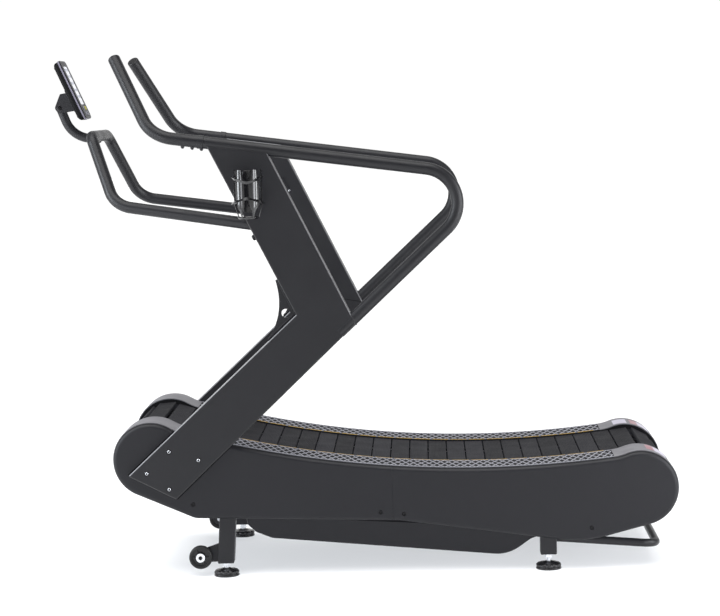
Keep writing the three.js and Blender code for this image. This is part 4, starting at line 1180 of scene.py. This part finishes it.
def handlebar_and_stem():
    x, half, z = CROSSBAR
    bar = [((-0.300, MID - 0.382, 1.085),), ((-0.739, MID - 0.312, 1.152), 0.090),
           ((x, MID - half, z), 0.055),
           ((x, MID + half, z), 0.055), ((-0.739, MID + 0.312, 1.152), 0.090),
           ((-0.300, MID + 0.382, 1.085),)]
    lower = Parts().add(*tube(bar, HANDLEBAR_RADIUS))
    lower.make("lower_handlebar_tube", TUBE_PAINT, "frame_paint", replaces=["lower_handlebar"], angle=40)
    stem = Parts().add(*tube([((x - 0.006, MID, STEM_Z),), ((-0.906, MID, STEM_Z), 0.088),
                              ((-0.941, MID, 1.446),)], STEM_RADIUS))
    stem.turned(at((PIVOT[0], MID - 0.0115, PIVOT[2]), (0, 1, 0)),
                [(0, 0), (0.0140, 0), (0.0140, 0.023), (0, 0.023)], 0.0010, 40)
    ring = []
    for i in range(64):
        a = TURN * i / 64
        y, w = STEM_RADIUS * math.cos(a), STEM_RADIUS * math.sin(a)
        height = STEM_Z + w
        reach = math.sqrt(max(HANDLEBAR_RADIUS ** 2 - (height - z) ** 2, 1e-8))
        ring.append(Vector((x - reach - 0.0004, MID + y, height)))
    stem.add(*ring_bead(ring, 0.0019))
    stem.make("console_stem_tube", TUBE_PAINT, "frame_paint", replaces=["console_stem"], angle=40)
    bolt = Parts().turned(at((x, MID, z - 0.0172), (0, 0, -1)),
                          [(0, 0), (0.0062, 0), (0.0062, 0.0020), (0.0046, 0.0044), (0, 0.0050)], 0.0007, 28)
    bolt.make("stem_bolt", DARK_BOLT, "black_plastic", angle=30)
    lift = Parts().add(*tube([((0.5885, MID - LIFT_Y, LIFT_Z),), ((0.898, MID - LIFT_Y, 0.066), 0.045),
                              ((0.898, MID + LIFT_Y, 0.066), 0.045), ((0.5885, MID + LIFT_Y, LIFT_Z),)],
                             LIFT_RADIUS, 40))
    for side in (-1, 1):
        turns = [TURN * i / 48 for i in range(48)]
        ends = [Vector((0.5884, MID + side * LIFT_Y + LIFT_RADIUS * math.cos(a),
                        LIFT_Z + LIFT_RADIUS * math.sin(a)))
                for a in turns]
        lift.add(*ring_bead(ends, 0.0018))
    lift.make("rear_lift_handle_tube", TUBE_PAINT, "frame_paint", replaces=["rear_lift_handle"], angle=40)


# ------------------------------------------------------------------------------------------------
# Base: posts, wheels and feet
# ------------------------------------------------------------------------------------------------
POST_Y, POST_HALF = 0.323, 0.025
PAD_SPREAD = 1.12
POSTS = (("front", -0.432, 0.041, -0.413, 0.320),
         ("rear", 0.562, 0.047, 0.563, 0.243))   # foot x, z, top x, z
BRACKET_IN, BRACKET_OUT = 0.3122, 0.3182
WHEEL_X, WHEEL_Z, WHEEL_MID = -0.510, 0.060, 0.332


def posts(label, side):
    y0, y1 = Y(side, POST_Y - POST_HALF), Y(side, POST_Y + POST_HALF)
    for end, x0, z0, x1, z1 in POSTS:
        line = [(x0 - POST_HALF, z0), (x0 + POST_HALF, z0), (x1 + POST_HALF, z1), (x1 - POST_HALF, z1)]
        obj = block(f"{end}_post_{label}_tube", line, y0, y1, 0.0036, 4)
        settle(obj, PAINT, "frame", "frame_paint", [f"{end}_post_{label}"], angle=30)
    plate = [(-0.4565, 0.042), (-0.4535, 0.100), *arc(Vector((WHEEL_X, WHEEL_Z)), 0.020, 1.75, 4.4, 20)]
    settle(block(f"wheel_bracket_{label}", plate, Y(side, BRACKET_IN), Y(side, BRACKET_OUT), 0.0010, 2),
           PAINT, "frame", "frame_paint", angle=30)
    weld = Parts()
    for across in (BRACKET_IN, BRACKET_OUT):
        weld.add(*bead((-0.4572, Y(side, across), 0.046), (-0.4540, Y(side, across), 0.096), 0.0020))
    weld.make(f"wheel_bracket_weld_{label}", PAINT, "frame_paint", angle=50, weighted=False)
    axle, heads, sockets = Parts(), Parts(), Parts()
    hub = (0, side, 0)
    axle.place(at((WHEEL_X, Y(side, 0.3080), WHEEL_Z), hub),
               *lathe([(0, 0), (0.0050, 0), (0.0050, 0.0385), (0, 0.0385)], 24))
    axle.place(at((WHEEL_X, Y(side, 0.3121), WHEEL_Z), (0, -side, 0), 0.3),
               *hex_prism(0.013, 0, 0.0050, 0.0006))
    axle.make(f"wheel_axle_{label}", ZINC, "bright_fastener", angle=30)
    heads.turned(at((WHEEL_X, Y(side, 0.3460), WHEEL_Z), hub),
                 [(0.0050, 0), (0.0138, 0), (0.0138, 0.0022), (0.0050, 0.0024)], 0.0006, 48)
    heads.make(f"wheel_washer_{label}", WASHER, "bright_fastener", angle=30)
    socket_bolt(at((WHEEL_X, Y(side, 0.3482), WHEEL_Z), hub), 0.0062, sockets, sockets)
    sockets.make(f"wheel_bolt_{label}", DARK_BOLT, "black_plastic", angle=30)


def wheel(label, side):
    hub = at((WHEEL_X, Y(side, WHEEL_MID), WHEEL_Z), (0, side, 0))
    body = f"wheel_{label}"
    tyre = fillet([(0.0268, -0.0120), (0.0322, -0.0129), (0.0359, -0.0086), (0.0359, 0.0086),
                   (0.0322, 0.0129), (0.0268, 0.0120)], 0.0024, 4)
    Parts().place(hub, *lathe(tyre, 72)).make(f"wheel_tyre_{label}", RUBBER, "wheel_rubber", body=body,
                                              replaces=[f"transport_wheel_{label}"], angle=30)
    centre = Parts().turned(hub, [(0.0056, -0.0129), (0.0156, -0.0129), (0.0170, -0.0040), (0.0272, -0.0040),
                                               (0.0272, 0.0040), (0.0170, 0.0040), (0.0156, 0.0129),
                                               (0.0056, 0.0129)], 0.0008, 48)
    for k in range(6):
        spoke = hub @ Matrix.Rotation(TURN * k / 6, 4, "Z")
        for low, high in ((0.0036, 0.0100), (-0.0100, -0.0036)):
            corners = [(x, y, z) for z in (low, high) for x,
                       y in ((0.0150, -0.0016), (0.0274, -0.0012), (0.0274, 0.0012), (0.0150, 0.0016))]
            centre.place(spoke, corners, caps(2, 4) + ring_faces(2, 4))
    centre.make(f"wheel_hub_{label}", BLACK, "black_plastic", body=body, angle=30)


def foot(end, x, nut, label, side):
    body = f"foot_{end}_{label}"
    base = Matrix.Translation((x, Y(side, POST_Y), 0))
    sides = 120
    profile = fillet([(0, 0.0), (0.0335, 0.0), (0.0348, 0.0012), (0.0348, 0.0052), (0.0328, 0.0062),
                      (0.0328, 0.0076), (0.0348, 0.0088),
                      (0.0348, 0.0140), (0.0300, 0.0188), (0.0200, 0.0202), (0.0125, 0.0232),
                      (0.0092, 0.0246), (0, 0.0246)], 0.0016, 3)
    verts, faces = lathe(profile, sides)
    for i, (vx, vy, vz) in enumerate(verts):
        if vz > 0.0082 and math.hypot(vx, vy) > 0.019:
            lobe = 0.5 + 0.5 * math.cos(10 * math.atan2(vy, vx))
            k = 1 - 0.075 * lobe ** 3
            verts[i] = (vx * k, vy * k, vz)
    verts = [(vx * PAD_SPREAD, vy * PAD_SPREAD, vz) for vx, vy, vz in verts]
    Parts().place(base, verts, faces).make(f"foot_pad_{end}_{label}", FOOT_PAD, "foot_rubber", body=body,
                                           replaces=[f"{end}_levelling_foot_{label}"], angle=32)
    thread = [(0, 0.0240), (0.0058, 0.0240)]
    z = 0.0262
    while z < nut + 0.030:
        thread += [(0.0059, z), (0.0051, z + 0.0009)]
        z += 0.0018
    thread += [(0.0050, nut + 0.032), (0, nut + 0.032)]
    stud = Parts().place(base, *lathe(thread, 32))
    stud.place(base @ Matrix.Rotation(0.35 + x, 4, "Z"),
               *hex_prism(0.0190, nut - 0.0105, nut - 0.0004, 0.0009))
    stud.turned(base, [(0.0058, nut - 0.0128), (0.0108, nut - 0.0128), (0.0108, nut - 0.0108),
                       (0.0058, nut - 0.0108)], 0.0003, 36)
    stud.make(f"foot_stud_{end}_{label}", WASHER, "bright_fastener", body=body, angle=30)


# ------------------------------------------------------------------------------------------------
# Bottle holder
# ------------------------------------------------------------------------------------------------
def bottle_holder():
    centre = Vector((-0.319, MID - 0.457, 0))
    facing = -math.pi / 2

    def spot(angle, r, z):
        return Vector((centre.x + r * math.cos(facing + angle), centre.y + r * math.sin(facing + angle), z))

    def radius(z):
        return 0.0300 + 0.0130 * min(1.0, max(0.0, (z - 1.108) / 0.044)) ** 0.7

    cage = Parts()

    def shell(a0, a1, levels):
        """An upright arm: a curved strip between two angles, its width varying with height."""
        across, thick = 10, 0.0026
        verts = []
        for z, shrink in levels:
            middle, half = (a0 + a1) / 2, (a1 - a0) / 2 * shrink
            for k in range(across + 1):
                edge = abs(2 * k / across - 1) ** 4
                verts.append(spot(middle - half + 2 * half * k / across, radius(z) + 0.0018 - 0.0016 * edge,
                                  z))
            for k in range(across, -1, -1):
                verts.append(spot(middle - half + 2 * half * k / across, radius(z) + 0.0018 - thick, z))
        size = len(levels), 2 * (across + 1)
        cage.add(verts, ring_faces(*size) + caps(*size))

    levels = [(1.112, 0.20), (1.122, 0.24), (1.134, 0.42), (1.144, 0.88), (1.166, 1.0), (1.215, 1.0),
              (1.226, 0.92), (1.240, 0.74), (1.253, 0.66), (1.2555, 0.55)]
    for a0, a1 in ((-50, -10), (8, 52), (100, 128), (232, 260)):
        shell(math.radians(a0), math.radians(a1), levels)
    for z0, swing, flare in ((1.2170, 0.015, 0.0046), (1.1700, -0.014, 0.0046)):
        verts = []
        steps = 96
        section = [(-0.0030, -0.0040), (0.0016, -0.0040), (0.0030 + flare, 0.0034),
                   (0.0022 + flare, 0.0044), (0.0004, -0.0008), (-0.0030, 0.0040)]
        for i in range(steps):
            a = TURN * i / steps
            wave = abs(math.sin(a)) ** 1.6
            for r, z in section:
                high = z if swing > 0 else -z
                verts.append(spot(a, radius(1.17) + r * (0.55 + 0.45 * wave), z0 + swing * wave + high))
        cage.add(verts, ring_faces(steps, len(section), looped=True))
    floor = at((centre.x, centre.y, 1.1080), (0, 0, 1))
    cage.turned(floor, [(0.0150, 0), (0.0305, 0), (0.0335, 0.0050), (0.0315, 0.0060), (0.0290, 0.0030),
                        (0.0150, 0.0030)], 0.0008, 64)
    for k in range(4):
        spoke = floor @ Matrix.Rotation(TURN * k / 4 + 0.5, 4, "Z")
        corners = [(x, y, z) for z in (0.0004, 0.0030) for x,
                   y in ((0, -0.003), (0.0300, -0.003), (0.0300, 0.003), (0, 0.003))]
        cage.place(spoke, corners, caps(2, 4) + ring_faces(2, 4))
    cage.make("bottle_cage", GLOSS, "black_plastic", replaces=["bottle_holder"], angle=35)
    strap = block("bottle_strap",
                  rounded([(-0.337, 1.124, 0.006), (-0.301, 1.124, 0.006), (-0.301, 1.251, 0.006),
                           (-0.337, 1.251, 0.006)], 6),
                  MID - 0.4190, MID - 0.4073, 0.0014, 3)
    settle(strap, GLOSS, "frame", "black_plastic", angle=30)
    heads, sockets = Parts(), Parts()
    for z in (1.146, 1.228):
        socket_bolt(at((-0.319, MID - 0.4190, z), (0, -1, 0), z), 0.0045, heads, sockets)
    heads.make("bottle_strap_screws", DARK_BOLT, "black_plastic", angle=30)
    # The socket floors are near-black: painted shade in the sockets.
    sockets.make("bottle_strap_sockets", SEAL_AND_SHADE, "black_plastic", angle=30)


# ------------------------------------------------------------------------------------------------
# Console
# ------------------------------------------------------------------------------------------------
HEAD_LEAN = math.radians(-23.6)
HEAD = Matrix.Translation(PIVOT) @ Matrix.Rotation(HEAD_LEAN, 4, "Y")
KEYS = (("start", 0.017, -0.032), ("stop", -0.017, -0.032), ("mode", -0.017, -0.051),
        ("target", 0.017, -0.051))
FACE_HALF, FACE_LOW, FACE_HIGH = 0.0620, -0.0670, 0.1330
WELL_FLOOR, GLASS_FLOOR = 0.0634, 0.0676


def plate_ring(half, low, high, radius, steps=10):
    return rounded([(-half, low, radius), (half, low, radius), (half, high, radius), (-half, high, radius)],
                   steps)


def pillow(parts, half, low, high, corner, levels):
    """A rounded plate facing along the head's X: levels are (x, how far its outline is drawn in)."""
    rings = [[(x, y, z) for y, z in inset(plate_ring(half, low, high, corner), draw)] for x, draw in levels]
    size = len(rings), len(rings[0])
    parts.place(HEAD, [v for ring in rings for v in ring], ring_faces(*size) + caps(*size))


def quarter(x0, x1, draw0, draw1, steps=6):
    """Levels that round an edge between two (x, draw) corners."""
    return [(x0 + (x1 - x0) * math.sin(math.pi / 2 * i / steps),
             draw0 + (draw1 - draw0) * (1 - math.cos(math.pi / 2 * i / steps)))
            for i in range(steps + 1)]


def console():
    shell = Parts()
    back = quarter(0.0540, 0.0432, 0.0006, 0.0180)[::-1]
    pillow(shell, 0.0612, -0.0662, 0.1322, 0.0200, back + [(0.0617, 0.0)])
    shell.make("console_back", CASE, "black_plastic", body="console_head", replaces=["console_back_shell"],
               angle=40)

    face = Parts()
    pillow(face, FACE_HALF, FACE_LOW, FACE_HIGH, 0.0160,
           [(0.0620, 0.0010), (0.0630, 0.0)] + quarter(0.0672, 0.0705, 0.0, 0.0030))
    bezel = face.make("console_face", BEZEL, "cover_plastic", body="console_head",
                      replaces=["console_bezel"], angle=40)
    bezel.modifiers.clear()

    def well(half_y, y, low, high, floor, radius):
        """Sinks a rounded pocket into the face."""
        tool = Parts()
        ring = [(q + y, z) for q, z in plate_ring(half_y, low, high, radius, 6)]
        verts = [(x, *p) for x in (floor, 0.080) for p in ring]
        tool.place(HEAD, verts, ring_faces(2, len(ring)) + caps(2, len(ring)))
        subtract(bezel, from_lists("cutter", tool.verts, tool.faces))

    well(0.0326, 0, -0.0196, 0.1136, GLASS_FLOOR, 0.003)
    for name, y, z in KEYS:
        well(0.0095, y, z - 0.0070, z + 0.0070, WELL_FLOOR, 0.0032)
    bezel.data.polygons.foreach_set("use_smooth", [True] * len(bezel.data.polygons))
    bezel.data.set_sharp_from_angle(angle=math.radians(30))

    # A light ring round the face's edge: a painted highlight standing in for the edge rounding catching
    # light.
    edge_highlight_ring = Parts()
    outer = plate_ring(0.0624, -0.0674, 0.1334, 0.0164)
    inner = inset(outer, 0.0012)
    back, front = 0.0622, 0.0670
    verts = [(x, *p) for x, line in ((back, outer), (front, outer), (front, inner), (back, inner))
             for p in line]
    edge_highlight_ring.place(HEAD, verts, ring_faces(4, len(outer), looped=True))
    edge_highlight_ring.make("console_edge_highlight_ring", BEZEL_EDGE_HIGHLIGHT, "cover_plastic", body="console_head", angle=40)

    glass = Parts()
    pillow(glass, 0.0320, -0.0190, 0.1130, 0.003, [(0.0677, 0.0)] + quarter(0.0696, 0.0702, 0.0, 0.0006, 3))
    glass.make("console_glass", SCREEN, "screen", body="console_head", replaces=["console_display"], angle=40)
    marks = Parts()
    for row in range(5):
        for column in (-1, 1):
            low = 0.0965 - row * 0.0230
            ring = [(q + column * 0.0155, z) for q, z in plate_ring(0.0105, low, low + 0.0085, 0.0012, 3)]
            verts = [(x, *p) for x in (0.0700, 0.0704) for p in ring]
            marks.place(HEAD, verts, ring_faces(2, len(ring)) + caps(2, len(ring)))
    marks.make("console_segments", SEGMENT, "screen", body="console_head", angle=40)

    for name, y, z in KEYS:
        key = Parts()
        rings = [[(x, q + y, v) for q, v in inset(plate_ring(0.0090, z - 0.0065, z + 0.0065, 0.003, 6), draw)]
                 for x, draw in [(0.0660, 0.0)] + quarter(0.0712, 0.0727, 0.0, 0.0016,
                                                          4) + [(0.0729, 0.0036)]]
        size = len(rings), len(rings[0])
        key.place(HEAD, [v for ring in rings for v in ring], ring_faces(*size) + caps(*size))
        material, slot = (KEY_GREEN, "key_green") if name == "start" else (KEY_GREY, "key_grey")
        key.make(f"key_cap_{name}", material, slot, body=f"key_{name}", replaces=[f"console_key_{name}"],
                 angle=40)

    refined("console_bracket", PAINT, 0.0007, 2, "frame_paint", 32)
    heads, dark = Parts(), Parts()
    for across in (-1, 1):
        seat = at((PIVOT[0], MID + across * 0.0190, PIVOT[2]), (0, across, 0), 0.5)
        heads.turned(seat, [(0.0052, 0), (0.0098, 0), (0.0098, 0.0012), (0.0052, 0.0012)], 0.0004, 40)
        dark.turned(seat, [(0.0030, 0), (0.0080, 0), (0.0080, 0.0030), (0.0060, 0.0056), (0.0030, 0.0058)],
                    0.0006, 36)
        dark.place(seat, *hex_prism(0.0062, 0, 0.0030, 0.0002))
    heads.make("pivot_washers", PAINT_SHEEN, "bright_fastener", angle=30)
    dark.make("pivot_bolt_heads", DARK_BOLT, "bright_fastener", replaces=["console_pivot_bolt"], angle=30)
    screws = Parts()
    for y in (-0.046, 0.046):
        for z in (-0.050, 0.116):
            screws.turned(HEAD @ at((0.0450, y, z), (-1, 0, 0)),
                          [(0, 0), (0.0034, 0), (0.0034, 0.0016), (0.0014, 0.0020), (0.0010, 0.0008),
                           (0, 0.0008)], 0.0003, 24)
    screws.make("console_back_screws", DARK_BOLT, "black_plastic", body="console_head", angle=30)


def leg_gap_shade_plate(label, side):
    """A near-black plate behind the leg's foot, inside the cover's opening: painted shade that shows the gap
    round the leg as a dark line and closes it against light.
    """
    up = Vector((0.738, 0.675)) * 0.150
    corners = inset([tuple(Vector(UPRIGHT_LINE[3]) + up), tuple(Vector(UPRIGHT_LINE[2]) + up),
                     UPRIGHT_LINE[2], UPRIGHT_LINE[3]], -SHADE_PLATE_LAP)
    settle(block(f"leg_gap_shade_plate_{label}", corners, Y(side, 0.3532), Y(side, 0.3566), 0.0004, 1), SEAL_AND_SHADE,
           "frame", "black_plastic", angle=30)


def coat(node, material):
    """Gives a carried-over CAD node its material."""
    NODES[node].data.materials.clear()
    NODES[node].data.materials.append(material)


studio()
belt()
for label, side in SIDES:
    side_covers(label, side)
    leg_gap_shade_plate(label, side)
    foot_rails(label, side)
    arches(label, side)
    blank_labels(label, side)
    uprights(label, side)
    handrails(label, side)
    posts(label, side)
    wheel(label, side)
    for end, x, nut, _, _ in POSTS:
        foot(end, x, nut, label, side)
belly()
handlebar_and_stem()
bottle_holder()
console()

# Pulleys and rails are dark: the area lamps cast no shadow and would light bare metal through the belt.
for node, material in (("side_frame", PAINT), ("bearing_rail", PAINT), ("rear_bearing", STEEL),
                       ("front_pulley", DARK_BOLT),
                       ("rear_pulley", DARK_BOLT)):
    for label, _ in SIDES:
        coat(f"{node}_{label}", material)
for node, material in (("front_bearing_left", STEEL), ("front_one_way_bearing", STEEL),
                       ("front_shaft", STEEL), ("rear_shaft", STEEL),
                       ("front_cross_beam", PAINT), ("rear_cross_beam", PAINT)):
    coat(node, material)
